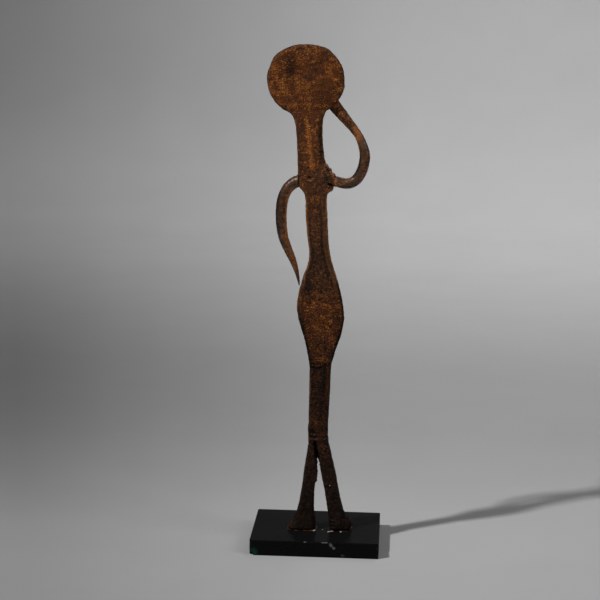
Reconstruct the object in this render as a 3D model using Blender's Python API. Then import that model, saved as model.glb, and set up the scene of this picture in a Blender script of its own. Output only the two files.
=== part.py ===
"""A small forged iron figure on a black stone plinth.

The smith drew the figure out of one bar: a flat round head, a bar for neck and trunk, a flattened
oval for the hips, and a bar below them split into two legs that end in splayed feet. Two tapered
rods, forge-welded on at the shoulders, make the arms: one hangs to the hip, the other bends up and
lays its flattened hand against the back of the head.

Metres, with +Z up. The origin is the centre of the plinth's underside, and the figure faces -Y.
"""

import math

import bmesh
import bpy
from mathutils import Matrix, Vector

MM = 0.001

# Plinth
PLINTH_WIDTH = 61.2 * MM
PLINTH_DEPTH = 53.2 * MM
PLINTH_HEIGHT = 7.4 * MM
PLINTH_CORNER = 0.8 * MM  # radius of the upright edges
WORN_CORNER = 2.0 * MM  # radius of the front left one, which is rubbed round
PLINTH_ARRIS = 0.35 * MM  # width of the worn bevel round the top and the underside
# The block was sawn by hand and is not quite square: how far its front left, front right, back
# right and back left edges stand inside the full width and the full depth, in millimetres.
PLINTH_SKEW = ((0.0, 1.2), (0.0, 0.0), (0.1, 1.3), (0.4, 0.0))

# Figure
FIGURE_HEIGHT = 231.7 * MM
FIGURE_FORWARD = 3.4 * MM  # how far the figure's middle plane stands in front of the plinth's middle
FIGURE_RIGHT = 0.5 * MM  # how far the figure's own axis stands to the right of it
SEAT_GAP = 0.3 * MM  # between the soles and the plinth
HEAD_WIDTH = 35.9 * MM
HEAD_HEIGHT = 33.2 * MM
HEAD_THICKNESS = 3.0 * MM
HEAD_OFFSET = -7.75 * MM  # the head's centre, left of the figure's axis
NECK_LAP = 4.0 * MM  # how far the neck reaches up into the head
ROD_DIAMETER = 5.1 * MM  # the arm rods at the shoulders
HAND_PRESS = 0.2 * MM  # how far the hand is hammered into the back of the head

# Everything below the head is drawn in millimetres, station by station, and scaled to fit.
# Each station of a bar: height above the soles, left edge, right edge, front depth, back depth,
# and how far the left and right front edges are rounded in. The back edges are all rounded alike.
BACK_ROUNDING = 1.4
TRUNK = (
    (39.5, -4.2, 4.6, 2.4, 2.5, 1.2, 1.4),
    (44.0, -4.6, 4.6, 2.8, 2.9, 1.2, 1.6),
    (49.5, -4.9, 4.6, 2.9, 3.0, 1.2, 2.0),
    (52.5, -4.65, 4.7, 2.8, 3.0, 1.0, 2.2),
    (69.0, -4.5, 5.35, 2.6, 2.9, 0.9, 2.6),
    (77.0, -4.4, 5.6, 2.4, 2.8, 0.9, 2.6),
    (80.9, -4.6, 5.9, 2.1, 2.6, 0.9, 2.4),
    (81.9, -4.7, 6.1, 2.8, 2.5, 1.0, 2.2),
    (89.2, -6.15, 8.3, 2.3, 2.1, 1.2, 2.2),
    (94.5, -7.5, 10.1, 2.1, 2.0, 1.4, 2.4),
    (103.0, -10.2, 11.6, 2.0, 1.9, 1.6, 2.8),
    (111.4, -10.7, 10.65, 2.0, 1.9, 1.6, 2.6),
    (123.4, -7.9, 7.6, 2.4, 2.2, 1.6, 2.4),
    (127.0, -6.4, 6.3, 2.6, 2.4, 1.5, 2.4),
    (130.7, -5.3, 5.2, 2.8, 2.6, 1.4, 2.6),
    (135.0, -5.2, 4.3, 3.0, 2.7, 1.4, 2.8),
    (140.0, -5.9, 3.6, 3.1, 2.8, 1.4, 2.8),
    (150.5, -6.95, 3.15, 3.1, 2.8, 1.4, 2.7),
    (159.8, -7.3, 2.6, 3.1, 2.8, 1.4, 2.6),
    (162.0, -7.6, 3.0, 3.1, 2.8, 1.4, 2.4),
    (163.9, -9.0, 3.3, 3.0, 2.8, 1.6, 2.2),
    (166.0, -10.9, 3.4, 2.9, 2.8, 1.8, 2.2),
    (172.5, -10.95, 2.7, 2.7, 2.6, 1.4, 2.4),
    (178.7, -11.2, 1.5, 2.6, 2.5, 1.2, 2.8),
    (184.3, -11.4, 0.65, 2.5, 2.4, 1.2, 2.8),
    (194.5, -12.3, 0.3, 2.1, 2.0, 1.2, 2.4),
    (198.0, -13.5, 0.7, 1.8, 1.7, 1.2, 1.6),
    (200.5, -15.3, 1.9, 1.4, 1.4, 1.0, 1.0),
    (202.5, -15.8, 2.2, 1.2, 1.2, 0.8, 0.8),
)
LEFT_LEG = (
    (0.0, -14.1, -0.5, 4.9, 3.0, 3.6, 3.4),
    (0.8, -14.1, -0.5, 5.0, 3.1, 3.6, 3.4),
    (4.2, -11.5, -1.0, 3.9, 3.0, 2.6, 2.4),
    (8.2, -9.8, -1.5, 3.0, 2.8, 1.6, 1.6),
    (12.7, -8.7, -1.7, 2.6, 2.6, 1.2, 1.2),
    (17.7, -7.9, -1.5, 2.6, 2.6, 1.1, 1.1),
    (22.6, -7.25, -1.2, 2.7, 2.6, 1.1, 1.0),
    (23.6, -7.1, -0.6, 2.7, 2.6, 1.1, 0.9),
    (27.0, -6.7, -0.4, 2.8, 2.7, 1.1, 0.9),
    (31.7, -6.15, -0.45, 2.9, 2.8, 1.1, 0.9),
    (35.0, -5.65, -0.9, 3.0, 2.8, 1.1, 1.0),
    (38.2, -5.1, -0.8, 3.2, 2.9, 1.1, 1.2),
    (42.0, -4.6, -0.5, 3.2, 2.9, 1.1, 1.3),
    (46.4, -4.75, 0.0, 3.1, 2.8, 1.1, 1.4),
)
RIGHT_LEG = (
    (0.0, 5.9, 16.3, 4.8, 5.7, 3.0, 4.0),
    (1.0, 5.7, 16.7, 5.0, 5.9, 3.0, 4.2),
    (3.9, 5.7, 16.1, 4.5, 5.0, 2.6, 4.0),
    (6.0, 5.6, 14.3, 3.9, 4.0, 2.2, 3.2),
    (8.6, 5.2, 12.6, 3.2, 3.2, 1.4, 2.0),
    (13.5, 4.3, 11.35, 2.7, 2.8, 1.1, 1.4),
    (19.1, 3.4, 10.15, 2.7, 2.7, 1.1, 1.2),
    (25.4, 2.1, 9.0, 2.8, 2.7, 1.1, 1.2),
    (31.0, 1.0, 7.75, 2.9, 2.8, 1.1, 1.2),
    (34.6, -0.05, 6.95, 3.0, 2.8, 1.1, 1.2),
    (38.2, -1.3, 6.1, 3.2, 2.9, 1.2, 1.2),
    (42.5, -1.5, 5.0, 3.3, 2.9, 1.3, 1.2),
    (46.6, -1.4, 4.6, 3.3, 2.8, 1.4, 1.2),
)

# Each rod station: place from left to right, height above the soles, how far it lies behind the
# figure's middle plane, its width in the figure's plane as a share of the rod's diameter, and its
# depth as a share of that width.
LEFT_ARM = (
    (-5.0, 168.2, 0.0, 0.95, 0.9),
    (-10.4, 168.0, 0.0, 1.05, 0.9),
    (-12.6, 167.15, -0.1, 1.07, 0.95),
    (-15.15, 165.05, -0.2, 1.03, 1.0),
    (-17.15, 161.75, -0.3, 1.01, 1.0),
    (-18.2, 157.8, -0.4, 1.02, 1.0),
    (-18.6, 153.0, -0.4, 1.02, 0.95),
    (-18.45, 147.5, -0.4, 0.99, 0.95),
    (-17.4, 141.2, -0.3, 0.9, 0.9),
    (-15.3, 135.7, -0.2, 0.78, 0.95),
    (-12.9, 130.4, -0.1, 0.62, 1.0),
    (-10.9, 124.3, 0.0, 0.38, 1.1),
    (-10.05, 119.9, 0.1, 0.12, 1.4),
)
RIGHT_ARM = (
    (0.5, 168.6, 0.0, 1.0, 0.95),
    (6.2, 168.2, -0.2, 1.0, 0.95),
    (11.6, 167.15, -0.4, 0.97, 1.0),
    (15.6, 168.5, -0.5, 0.99, 1.0),
    (18.4, 172.2, -0.5, 1.02, 0.95),
    (19.85, 176.9, -0.4, 1.0, 0.95),
    (20.0, 182.0, -0.2, 0.94, 0.9),
    (17.55, 188.8, 0.4, 0.78, 0.9),
    (14.45, 193.0, 1.0, 0.8, 0.8),
    (10.7, 197.3, 1.8, 0.98, 0.65),
    (7.6, 200.8, 2.3, 1.12, 0.52),
    (5.0, 203.8, 2.55, 1.24, 0.42),
    (2.6, 206.4, 2.6, 1.26, 0.36),
    (0.5, 208.8, 2.6, 1.16, 0.34),
    (-0.7, 210.1, 2.6, 0.8, 0.4),
    (-1.2, 210.7, 2.6, 0.4, 0.6),
)
HAND_FIRST = 10  # from this station on, the right arm is the hand that lies on the head

# Lumps of the weld at the right shoulder: place (left to right, back, height), half sizes, and lean
# in degrees, with the top going left.
WELD_LUMPS = (
    ("weld_lump", (1.8, -0.1, 170.4), (4.2, 3.3, 7.1), 25.0),
    ("weld_corner", (2.5, 0.0, 174.5), (1.3, 2.4, 3.6), 37.0),
    ("weld_collar", (4.6, -0.1, 169.5), (2.3, 3.1, 3.9), 18.0),
    ("weld_tail", (3.4, 1.2, 165.1), (2.5, 1.9, 2.6), -30.0),
)

# The seam down the front of the thighs, where the bar was folded together: place and height.
SEAM = ((1.9, 80.6), (1.2, 74.5), (1.7, 68.0), (1.4, 60.0), (1.3, 53.0))
SEAM_WIDTH = 0.8 * MM
SEAM_DEPTH = 0.55 * MM
SEAM_REACH = 2.0 * MM  # how far the cutter stands out of the iron

# The trunk's topmost station is where the neck ends, inside the head.
BODY_SCALE = (FIGURE_HEIGHT - HEAD_HEIGHT + NECK_LAP) / (TRUNK[-1][0] * MM)

# The head's outline lies between an oval, 2, and a box, and its face is a little dished.
HEAD_SQUARENESS = 2.12
# Where the hammer left the outline fuller or flatter: angle from the right, upwards, in degrees,
# half width of the place, and how far it stands out, in millimetres.
HEAD_SWELLS = (
    (-14.0, 13.0, 0.42),
    (57.0, 8.0, 0.4),
    (141.0, 13.0, 0.42),
    (174.0, 6.0, 0.28),
    (211.0, 8.0, -0.2),
)
# From the middle of the face to the rim: share of the radius, and share of the half thickness.
HEAD_PROFILE = ((0.35, 0.96), (0.68, 1.0), (0.88, 0.96), (0.95, 0.8), (0.985, 0.5), (1.0, 0.0))

BAR_SPACING = 3.4  # between the rings of a bar, on the drawn body
ROD_SPACING = 2.2
CORNER_STEPS = 4
ROD_SIDES = 14
HEAD_SIDES = 60


def clear_scene():
    for old in list(bpy.data.objects):
        bpy.data.objects.remove(old)


def material(name, colour, metallic, roughness):
    made = bpy.data.materials.new(name)
    made.use_nodes = True
    shader = made.node_tree.nodes["Principled BSDF"]
    shader.inputs["Base Color"].default_value = (*colour, 1.0)
    shader.inputs["Metallic"].default_value = metallic
    shader.inputs["Roughness"].default_value = roughness
    return made


def object_from_rings(name, rings, smooth_angle=40.0):
    """A closed tube through rings of equal length, each counter-clockwise seen from its end."""
    mesh = bpy.data.meshes.new(name)
    shape = bmesh.new()
    loops = [[shape.verts.new(point) for point in ring] for ring in rings]
    count = len(loops[0])
    for lower, upper in zip(loops, loops[1:]):
        for i in range(count):
            j = (i + 1) % count
            shape.faces.new((lower[i], lower[j], upper[j], upper[i]))
    for loop in (loops[0][::-1], loops[-1]):
        middle = shape.verts.new(sum((v.co for v in loop), Vector()) / count)
        for i in range(count):
            shape.faces.new((loop[i], loop[(i + 1) % count], middle))
    bmesh.ops.recalc_face_normals(shape, faces=shape.faces)
    shape.to_mesh(mesh)
    shape.free()
    mesh.shade_smooth()
    mesh.set_sharp_from_angle(angle=math.radians(smooth_angle))
    made = bpy.data.objects.new(name, mesh)
    bpy.context.scene.collection.objects.link(made)
    return made


def smooth_rows(rows, spacing):
    """Rows read off a smooth curve through the given ones, about `spacing` apart, by Hermite steps."""
    lengths = [0.0]
    for a, b in zip(rows, rows[1:]):
        lengths.append(lengths[-1] + max(math.dist(a[:2], b[:2]), 0.01))
    slopes = []
    for i in range(len(rows)):
        before, after = max(i - 1, 0), min(i + 1, len(rows) - 1)
        gap = lengths[after] - lengths[before]
        slopes.append([(q - p) / gap for p, q in zip(rows[before], rows[after])])
    made = []
    for i, (a, b) in enumerate(zip(rows, rows[1:])):
        gap = lengths[i + 1] - lengths[i]
        steps = max(1, round(gap / spacing))
        for k in range(steps):
            t = k / steps
            keep = 2 * t**3 - 3 * t**2 + 1
            lead = (t**3 - 2 * t**2 + t) * gap
            trail = (t**3 - t**2) * gap
            made.append(
                [
                    keep * p + lead * m + (1 - keep) * q + trail * n
                    for p, q, m, n in zip(a, b, slopes[i], slopes[i + 1])
                ]
            )
    made.append(list(rows[-1]))
    return made


def bar_section(station):
    """The ring of one station of a hammered bar: a rectangle with rounded corners."""
    height, left, right, front, back, round_left, round_right = station
    widest_round = (right - left) * 0.45
    deepest_round = (front + back) * 0.42
    corners = (
        (left, -front, round_left, 180.0),
        (right, -front, round_right, 270.0),
        (right, back, BACK_ROUNDING, 0.0),
        (left, back, BACK_ROUNDING, 90.0),
    )
    ring = []
    for x, y, rounding, start in corners:
        radius = min(rounding, widest_round)
        depth = min(rounding, deepest_round)
        centre_x = x + (radius if x == left else -radius)
        centre_y = y + (depth if y == -front else -depth)
        for step in range(CORNER_STEPS + 1):
            angle = math.radians(start + 90.0 * step / CORNER_STEPS)
            ring.append(
                (centre_x + radius * math.cos(angle), centre_y + depth * math.sin(angle))
            )
    unit = BODY_SCALE * MM
    return [Vector((x * unit, y * unit, height * unit)) for x, y in ring]


def bar(name, stations):
    """A hammered bar, standing upright."""
    return object_from_rings(name, [bar_section(s) for s in smooth_rows(stations, BAR_SPACING)])


def rod(name, stations):
    """A round or flattened rod along the stations' line, which lies nearly in the XZ plane."""
    unit = BODY_SCALE * MM
    rows = smooth_rows(stations, ROD_SPACING)
    places = [Vector((row[0], row[2], row[1])) * unit for row in rows]
    rings = []
    for i, (place, row) in enumerate(zip(places, rows)):
        along = (places[min(i + 1, len(rows) - 1)] - places[max(i - 1, 0)]).normalized()
        across = along.cross(Vector((0.0, 1.0, 0.0))).normalized()
        through = across.cross(along)
        half_width = ROD_DIAMETER * row[3] / 2
        half_depth = half_width * row[4]
        rings.append(
            [
                place
                + across * half_width * math.cos(2 * math.pi * side / ROD_SIDES)
                + through * half_depth * math.sin(2 * math.pi * side / ROD_SIDES)
                for side in range(ROD_SIDES)
            ]
        )
    return object_from_rings(name, rings)


def seated_hand(stations):
    """The right arm's stations, with the hand laid on the back of the head, whatever its thickness."""
    unit = BODY_SCALE * MM
    rows = []
    for i, (x, height, back, width, flatness) in enumerate(stations):
        if i >= HAND_FIRST:
            half_depth = ROD_DIAMETER * width * flatness / 2
            back = (HEAD_THICKNESS / 2 + half_depth - HAND_PRESS) / unit
        rows.append((x, height, back, width, flatness))
    return rows


def head_disc():
    """The flat round head: a slightly squared oval plate with a hammered, rounded rim."""
    centre = Vector((HEAD_OFFSET, 0.0, FIGURE_HEIGHT - HEAD_HEIGHT / 2))
    half = Vector((HEAD_WIDTH, HEAD_THICKNESS, HEAD_HEIGHT)) / 2
    outline = []
    for side in range(HEAD_SIDES):
        angle = 2 * math.pi * side / HEAD_SIDES
        c, s = math.cos(angle), math.sin(angle)
        reach = (abs(c) ** HEAD_SQUARENESS + abs(s) ** HEAD_SQUARENESS) ** (-1 / HEAD_SQUARENESS)
        swell = 0.0
        for place, half_width, height in HEAD_SWELLS:
            away = (math.degrees(angle) - place + 180.0) % 360.0 - 180.0
            swell += height * MM * math.exp(-((away / half_width) ** 2))
        outline.append(((half.x * reach + swell) * c, (half.z * reach + swell) * s))
    back_profile = [(share, -depth) for share, depth in HEAD_PROFILE[-2::-1]]
    rings = []
    for share, depth in (*HEAD_PROFILE, *back_profile):
        rings.append([centre + Vector((x * share, -half.y * depth, z * share)) for x, z in outline])
    return object_from_rings("head_disc", rings)


def lump(name, place, half_sizes, lean):
    """An egg-shaped lump of iron squeezed out by the weld."""
    unit = BODY_SCALE * MM
    mesh = bpy.data.meshes.new(name)
    shape = bmesh.new()
    bmesh.ops.create_icosphere(shape, subdivisions=2, radius=1.0)
    turn = Matrix.Rotation(math.radians(-lean), 3, "Y")
    for vert in shape.verts:
        vert.co = turn @ Vector(c * half for c, half in zip(vert.co, half_sizes)) * unit
        vert.co += Vector(place) * unit
    shape.to_mesh(mesh)
    shape.free()
    mesh.shade_smooth()
    made = bpy.data.objects.new(name, mesh)
    bpy.context.scene.collection.objects.link(made)
    return made


def seam_cutter():
    """A long wedge that cuts the seam into the front of the thighs."""
    unit = BODY_SCALE * MM
    front = -min(row[3] for row in TRUNK if SEAM[-1][1] <= row[0] <= SEAM[0][1]) * unit
    rings = []
    for x, height in smooth_rows(SEAM, ROD_SPACING):
        place = Vector((x * unit, 0.0, height * unit))
        rings.append(
            [
                place + Vector((-SEAM_WIDTH, front - SEAM_REACH, 0.0)),
                place + Vector((SEAM_WIDTH, front - SEAM_REACH, 0.0)),
                place + Vector((0.0, front + SEAM_DEPTH, 0.0)),
            ]
        )
    return object_from_rings("seam_cutter", rings)


def combine(target, tool, operation):
    """Joins a hidden shape to the target, or cuts it out, with a live Boolean."""
    tool.hide_render = True
    tool.display_type = "WIRE"
    step = target.modifiers.new(tool.name, "BOOLEAN")
    step.operation = operation
    step.object = tool


def iron_figure():
    figure = bar("iron_figure", TRUNK)
    shapes = [
        head_disc(),
        bar("left_leg", LEFT_LEG),
        bar("right_leg", RIGHT_LEG),
        rod("left_arm", LEFT_ARM),
        rod("right_arm", seated_hand(RIGHT_ARM)),
    ]
    shapes += [lump(*words) for words in WELD_LUMPS]
    cutter = seam_cutter()
    for shape in shapes:
        combine(figure, shape, "UNION")
    combine(figure, cutter, "DIFFERENCE")
    for piece in (figure, cutter, *shapes):
        piece.location = (FIGURE_RIGHT, -FIGURE_FORWARD, PLINTH_HEIGHT + SEAT_GAP)
    figure.data.materials.append(
        material("rusted_iron", (0.085, 0.040, 0.020), metallic=0.35, roughness=0.72)
    )
    return figure


def plinth_outline(inset):
    """The plinth's outline seen from above, counter-clockwise, drawn in by `inset`."""
    half_width, half_depth = PLINTH_WIDTH / 2 - inset, PLINTH_DEPTH / 2 - inset
    corners = (
        (-1, -1, WORN_CORNER, 180.0),
        (1, -1, PLINTH_CORNER, 270.0),
        (1, 1, PLINTH_CORNER, 0.0),
        (-1, 1, PLINTH_CORNER, 90.0),
    )
    ring = []
    for (side_x, side_y, radius, start), (skew_x, skew_y) in zip(corners, PLINTH_SKEW):
        centre_x = side_x * (half_width - skew_x * MM - radius)
        centre_y = side_y * (half_depth - skew_y * MM - radius)
        for step in range(CORNER_STEPS + 1):
            angle = math.radians(start + 90.0 * step / CORNER_STEPS)
            ring.append((centre_x + radius * math.cos(angle), centre_y + radius * math.sin(angle)))
    return ring


def plinth():
    levels = (
        (0.0, PLINTH_ARRIS),
        (PLINTH_ARRIS, 0.0),
        (PLINTH_HEIGHT - PLINTH_ARRIS, 0.0),
        (PLINTH_HEIGHT, PLINTH_ARRIS),
    )
    rings = [[Vector((x, y, z)) for x, y in plinth_outline(inset)] for z, inset in levels]
    block = object_from_rings("plinth", rings, smooth_angle=25.0)
    block.data.materials.append(
        material("black_stone", (0.012, 0.012, 0.013), metallic=0.0, roughness=0.3)
    )
    return block


clear_scene()
iron_figure()
plinth()
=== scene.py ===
# %% [markdown]
# # A forged iron figure on a black stone plinth
#
# The real thing is a slim human figure, 232 mm tall, that a smith drew out of one bar of iron. The
# head is a flat disc, the hips are a flattened oval, and two tapered rods make the arms. It is
# glued by its feet to a small block of polished black stone.
#
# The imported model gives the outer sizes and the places. It is loaded first and never moved: each
# piece below is dressed over the solid that it stands for.

# %% Load the frame
import math

import bmesh
import bpy
import numpy as np
from mathutils import Matrix, Vector


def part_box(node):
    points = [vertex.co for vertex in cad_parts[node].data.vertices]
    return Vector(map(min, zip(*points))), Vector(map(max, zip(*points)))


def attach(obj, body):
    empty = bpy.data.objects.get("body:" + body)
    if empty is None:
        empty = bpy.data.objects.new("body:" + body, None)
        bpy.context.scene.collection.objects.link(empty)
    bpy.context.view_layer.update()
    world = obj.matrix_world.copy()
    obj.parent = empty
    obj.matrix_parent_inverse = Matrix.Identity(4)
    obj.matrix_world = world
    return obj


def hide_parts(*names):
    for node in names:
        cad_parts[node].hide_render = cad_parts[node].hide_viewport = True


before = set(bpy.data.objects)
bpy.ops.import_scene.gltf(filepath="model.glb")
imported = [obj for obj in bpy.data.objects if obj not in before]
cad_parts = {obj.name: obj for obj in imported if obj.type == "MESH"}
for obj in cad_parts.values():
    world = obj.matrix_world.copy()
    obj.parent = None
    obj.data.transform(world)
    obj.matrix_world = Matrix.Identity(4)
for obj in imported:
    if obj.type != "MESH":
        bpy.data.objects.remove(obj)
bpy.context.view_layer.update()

MM = 0.001
figure_low, figure_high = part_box("iron_figure")
plinth_low, plinth_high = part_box("plinth")
FIGURE_PLANE = -3.4 * MM  # the figure's middle plane, in front of the plinth's middle
FIGURE_AXIS = 0.5 * MM  # the figure's own axis, to the right of the plinth's middle
SOLE = figure_low.z
print("figure", [round(c / MM, 1) for c in (figure_high - figure_low)], "mm")
print("plinth", [round(c / MM, 1) for c in (plinth_high - plinth_low)], "mm")

# %% [markdown]
# ## The camera
#
# The picture was taken from about 0.93 m with a long lens, a little above the figure's head and
# looking down on it by some ten degrees. The four corners of the plinth and its known size fix the
# camera's place, and a long lens keeps the figure's upright lines nearly parallel.

# %% Camera
CAMERA_PLACE = Vector((39.7, -930.6, 292.9)) * MM
LOOK_DOWN = math.radians(10.6)
LOOK_LEFT = math.radians(3.0)
CAMERA_ROLL = math.radians(0.6)
LENS_MM = 120.0


def put_in_scene(name, data):
    """A new object that holds the data, at the origin."""
    made = bpy.data.objects.new(name, data)
    bpy.context.scene.collection.objects.link(made)
    return made


camera = put_in_scene("camera", bpy.data.cameras.new("camera"))
camera.data.lens = LENS_MM
camera.data.sensor_width = 36.0
camera.data.clip_start = 0.05
camera.matrix_world = (
    Matrix.Translation(CAMERA_PLACE)
    @ Matrix.Rotation(LOOK_LEFT, 4, "Z")
    @ Matrix.Rotation(math.pi / 2 - LOOK_DOWN, 4, "X")
    @ Matrix.Rotation(CAMERA_ROLL, 4, "Z")
)
bpy.context.scene.camera = camera
bpy.context.scene.view_settings.view_transform = "Standard"
print("camera", [round(c / MM) for c in CAMERA_PLACE], "mm, lens", LENS_MM)

# %% [markdown]
# ## Small helpers
#
# Node trees are easier to read as nested calls than as long lists of links. `add` makes one node
# and sets or links its inputs by name, so a chain of nodes reads from the inside out, as a formula
# does. The same helper serves Geometry Nodes and shaders.


# %% Node helpers
def plug(tree, socket, value):
    """Links a socket to another node's output, or sets its value."""
    if isinstance(value, bpy.types.NodeSocket):
        tree.links.new(value, socket)
    else:
        socket.default_value = value


def add(tree, kind, settings=None, **inputs):
    """Adds a node. Inputs are named as on the node, with _ for a space."""
    made = tree.nodes.new(kind)
    for name, value in (settings or {}).items():
        setattr(made, name, value)
    for name, value in inputs.items():
        wanted = name.replace("_", " ")
        found = [s for s in made.inputs if s.enabled and (s.name == wanted or s.identifier == name)]
        plug(tree, found[0], value)
    return made


def out(made, name=None):
    """The enabled output of a node, by name."""
    found = [s for s in made.outputs if s.enabled and (name is None or s.name == name)]
    return found[0]


def sum_up(tree, operation, *values, clamp=False):
    """A Math node on numbers or sockets."""
    made = tree.nodes.new("ShaderNodeMath")
    made.operation = operation
    made.use_clamp = clamp
    for socket, value in zip(made.inputs, values):
        plug(tree, socket, value)
    return made.outputs[0]


def stretch(tree, value, low, high, to_low=0.0, to_high=1.0, kind="SMOOTHSTEP"):
    """Spreads low..high over to_low..to_high, eased at both ends."""
    made = add(
        tree,
        "ShaderNodeMapRange",
        {"interpolation_type": kind},
        Value=value,
        From_Min=low,
        From_Max=high,
        To_Min=to_low,
        To_Max=to_high,
    )
    return made.outputs[0]


def new_tree(name, kind, inputs, outputs):
    """A node group with named sockets: {name: (socket type, default)} in, {name: type} out."""
    tree = bpy.data.node_groups.new(name, kind)
    for title, (socket_type, default) in inputs.items():
        socket = tree.interface.new_socket(title, in_out="INPUT", socket_type=socket_type)
        if default is not None:
            socket.default_value = default
    for title, socket_type in outputs.items():
        tree.interface.new_socket(title, in_out="OUTPUT", socket_type=socket_type)
    return tree, tree.nodes.new("NodeGroupInput").outputs, tree.nodes.new("NodeGroupOutput").inputs


# %% [markdown]
# A Geometry Nodes tree becomes a plain mesh in one step: it is hung on an object as a modifier, its
# inputs are set by their identifiers, and the evaluated result is copied. No modifier is left, so
# the mesh holds exactly what is seen.


# %% Run a Geometry Nodes tree
def grow(name, mesh, tree, material, **values):
    """A new object: the mesh after the tree."""
    seed = put_in_scene(name, mesh)
    step = seed.modifiers.new(tree.name, "NODES")
    step.node_group = tree
    named = {item.name: item.identifier for item in tree.interface.items_tree}
    for title, value in {**values, "Material": material}.items():
        step[named[title.replace("_", " ")]] = value
    bpy.context.view_layer.update()
    seen = seed.evaluated_get(bpy.context.evaluated_depsgraph_get())
    grown = bpy.data.meshes.new_from_object(seen)
    bpy.data.objects.remove(seed)
    grown.name = name
    grown.shade_smooth()
    made = put_in_scene(name, grown)
    print(name, len(grown.polygons), "faces")
    return made


def geometry_tree(name, inputs):
    """A Geometry Nodes tree that takes and gives geometry, with a material input."""
    geometry = {"Geometry": ("NodeSocketGeometry", None)}
    material = {"Material": ("NodeSocketMaterial", None)}
    outputs = {"Geometry": "NodeSocketGeometry"}
    return new_tree(name, "GeometryNodeTree", {**geometry, **inputs, **material}, outputs)


def stored(tree, name):
    """A value stored on the points, read inside a Geometry Nodes tree."""
    return out(add(tree, "GeometryNodeInputNamedAttribute", Name=name), "Attribute")


def position(tree):
    """Where each point is, read inside a Geometry Nodes tree."""
    return out(tree.nodes.new("GeometryNodeInputPosition"))


def finish_tree(tree, geometry, material, result):
    """Ends a tree: real geometry, then its material."""
    real = add(tree, "GeometryNodeRealizeInstances", Geometry=geometry)
    dressed = add(tree, "GeometryNodeSetMaterial", Geometry=out(real), Material=material)
    tree.links.new(out(dressed), result["Geometry"])


# %% [markdown]
# ## Patterns that several finishes share
#
# Iron, scabs of rust, stone, glue and paper are all mottled, only with other sizes and colours. So
# the mottling is a shader node group: coarse clouds, fine grain and a height for the Bump node. A
# second group scatters specks, which are embers of bright rust on the iron and pale dust on the
# stone. Groups put out only values. The Principled BSDF stays in each material.

# %% Shader groups
NOISE_GAIN = 2.2  # noise keeps close to its middle, so it is spread to reach 0 and 1


def mottle_group():
    inputs = {
        "Vector": ("NodeSocketVector", None),
        "Coarse Size": ("NodeSocketFloat", 3.0 * MM),
        "Fine Size": ("NodeSocketFloat", 0.8 * MM),
        "Contrast": ("NodeSocketFloat", 1.0),
    }
    outputs = {"Coarse": "NodeSocketFloat", "Fine": "NodeSocketFloat", "Height": "NodeSocketFloat"}
    tree, given, result = new_tree("mottle", "ShaderNodeTree", inputs, outputs)
    clouds = []
    for title, detail in (("Coarse Size", 3.0), ("Fine Size", 4.0)):
        scale = sum_up(tree, "DIVIDE", 1.0, given[title])
        cloud = add(tree, "ShaderNodeTexNoise", Vector=given["Vector"], Scale=scale, Detail=detail)
        centred = sum_up(tree, "SUBTRACT", out(cloud, "Fac"), 0.5)
        gain = sum_up(tree, "MULTIPLY", given["Contrast"], NOISE_GAIN)
        spread = sum_up(tree, "MULTIPLY", centred, gain)
        clouds.append(sum_up(tree, "ADD", spread, 0.5, clamp=True))
    tree.links.new(clouds[0], result["Coarse"])
    tree.links.new(clouds[1], result["Fine"])
    share = sum_up(tree, "MULTIPLY", clouds[1], 0.5)
    tree.links.new(sum_up(tree, "MULTIPLY_ADD", clouds[0], 0.5, share), result["Height"])
    return tree


def specks_group():
    inputs = {
        "Vector": ("NodeSocketVector", None),
        "Spacing": ("NodeSocketFloat", 2.0 * MM),
        "Amount": ("NodeSocketFloat", 0.2),
    }
    tree, given, result = new_tree("specks", "ShaderNodeTree", inputs, {"Mask": "NodeSocketFloat"})
    scale = sum_up(tree, "DIVIDE", 1.0, given["Spacing"])
    cells = add(tree, "ShaderNodeTexVoronoi", Vector=given["Vector"], Scale=scale)
    wide = sum_up(tree, "DIVIDE", scale, 5.0)
    drifts = add(tree, "ShaderNodeTexNoise", Vector=given["Vector"], Scale=wide)
    reach = sum_up(tree, "MULTIPLY", out(drifts, "Fac"), given["Amount"])
    mask = sum_up(tree, "SUBTRACT", reach, out(cells, "Distance"))
    tree.links.new(sum_up(tree, "MULTIPLY", mask, 12.0, clamp=True), result["Mask"])
    return tree


MOTTLE = mottle_group()
SPECKS = specks_group()
print("shader groups", [tree.name for tree in bpy.data.node_groups])


# %% Material helpers
def new_material(name):
    """A material with a bare Principled BSDF, its tree and the object coordinates."""
    made = bpy.data.materials.new(name)
    made.use_nodes = True
    tree = made.node_tree
    shader = tree.nodes["Principled BSDF"]
    place = tree.nodes.new("ShaderNodeTexCoord").outputs["Object"]
    return made, tree, shader, place


def group(tree, pattern, **inputs):
    """A shared group with its own sizes. Gives its outputs."""
    made = tree.nodes.new("ShaderNodeGroup")
    made.node_tree = pattern
    for title, value in inputs.items():
        plug(tree, made.inputs[title.replace("_", " ")], value)
    return made.outputs


def attribute(tree, name):
    """A value stored on the mesh's points."""
    made = tree.nodes.new("ShaderNodeAttribute")
    made.attribute_name = name
    return made.outputs["Fac"]


def blend_colour(tree, share, first, second):
    """The first colour, with a share of the second."""
    made = tree.nodes.new("ShaderNodeMix")
    made.data_type = "RGBA"
    plug(tree, made.inputs["Factor"], share)
    for socket, value in zip([s for s in made.inputs if s.type == "RGBA"], (first, second)):
        plug(tree, socket, value)
    return [s for s in made.outputs if s.type == "RGBA"][0]


def bump(tree, shader, height, depth):
    """Tilts the shading by a height of 0 to 1, depth metres deep."""
    made = tree.nodes.new("ShaderNodeBump")
    made.inputs["Distance"].default_value = depth
    tree.links.new(height, made.inputs["Height"])
    tree.links.new(made.outputs["Normal"], shader.inputs["Normal"])
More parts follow.
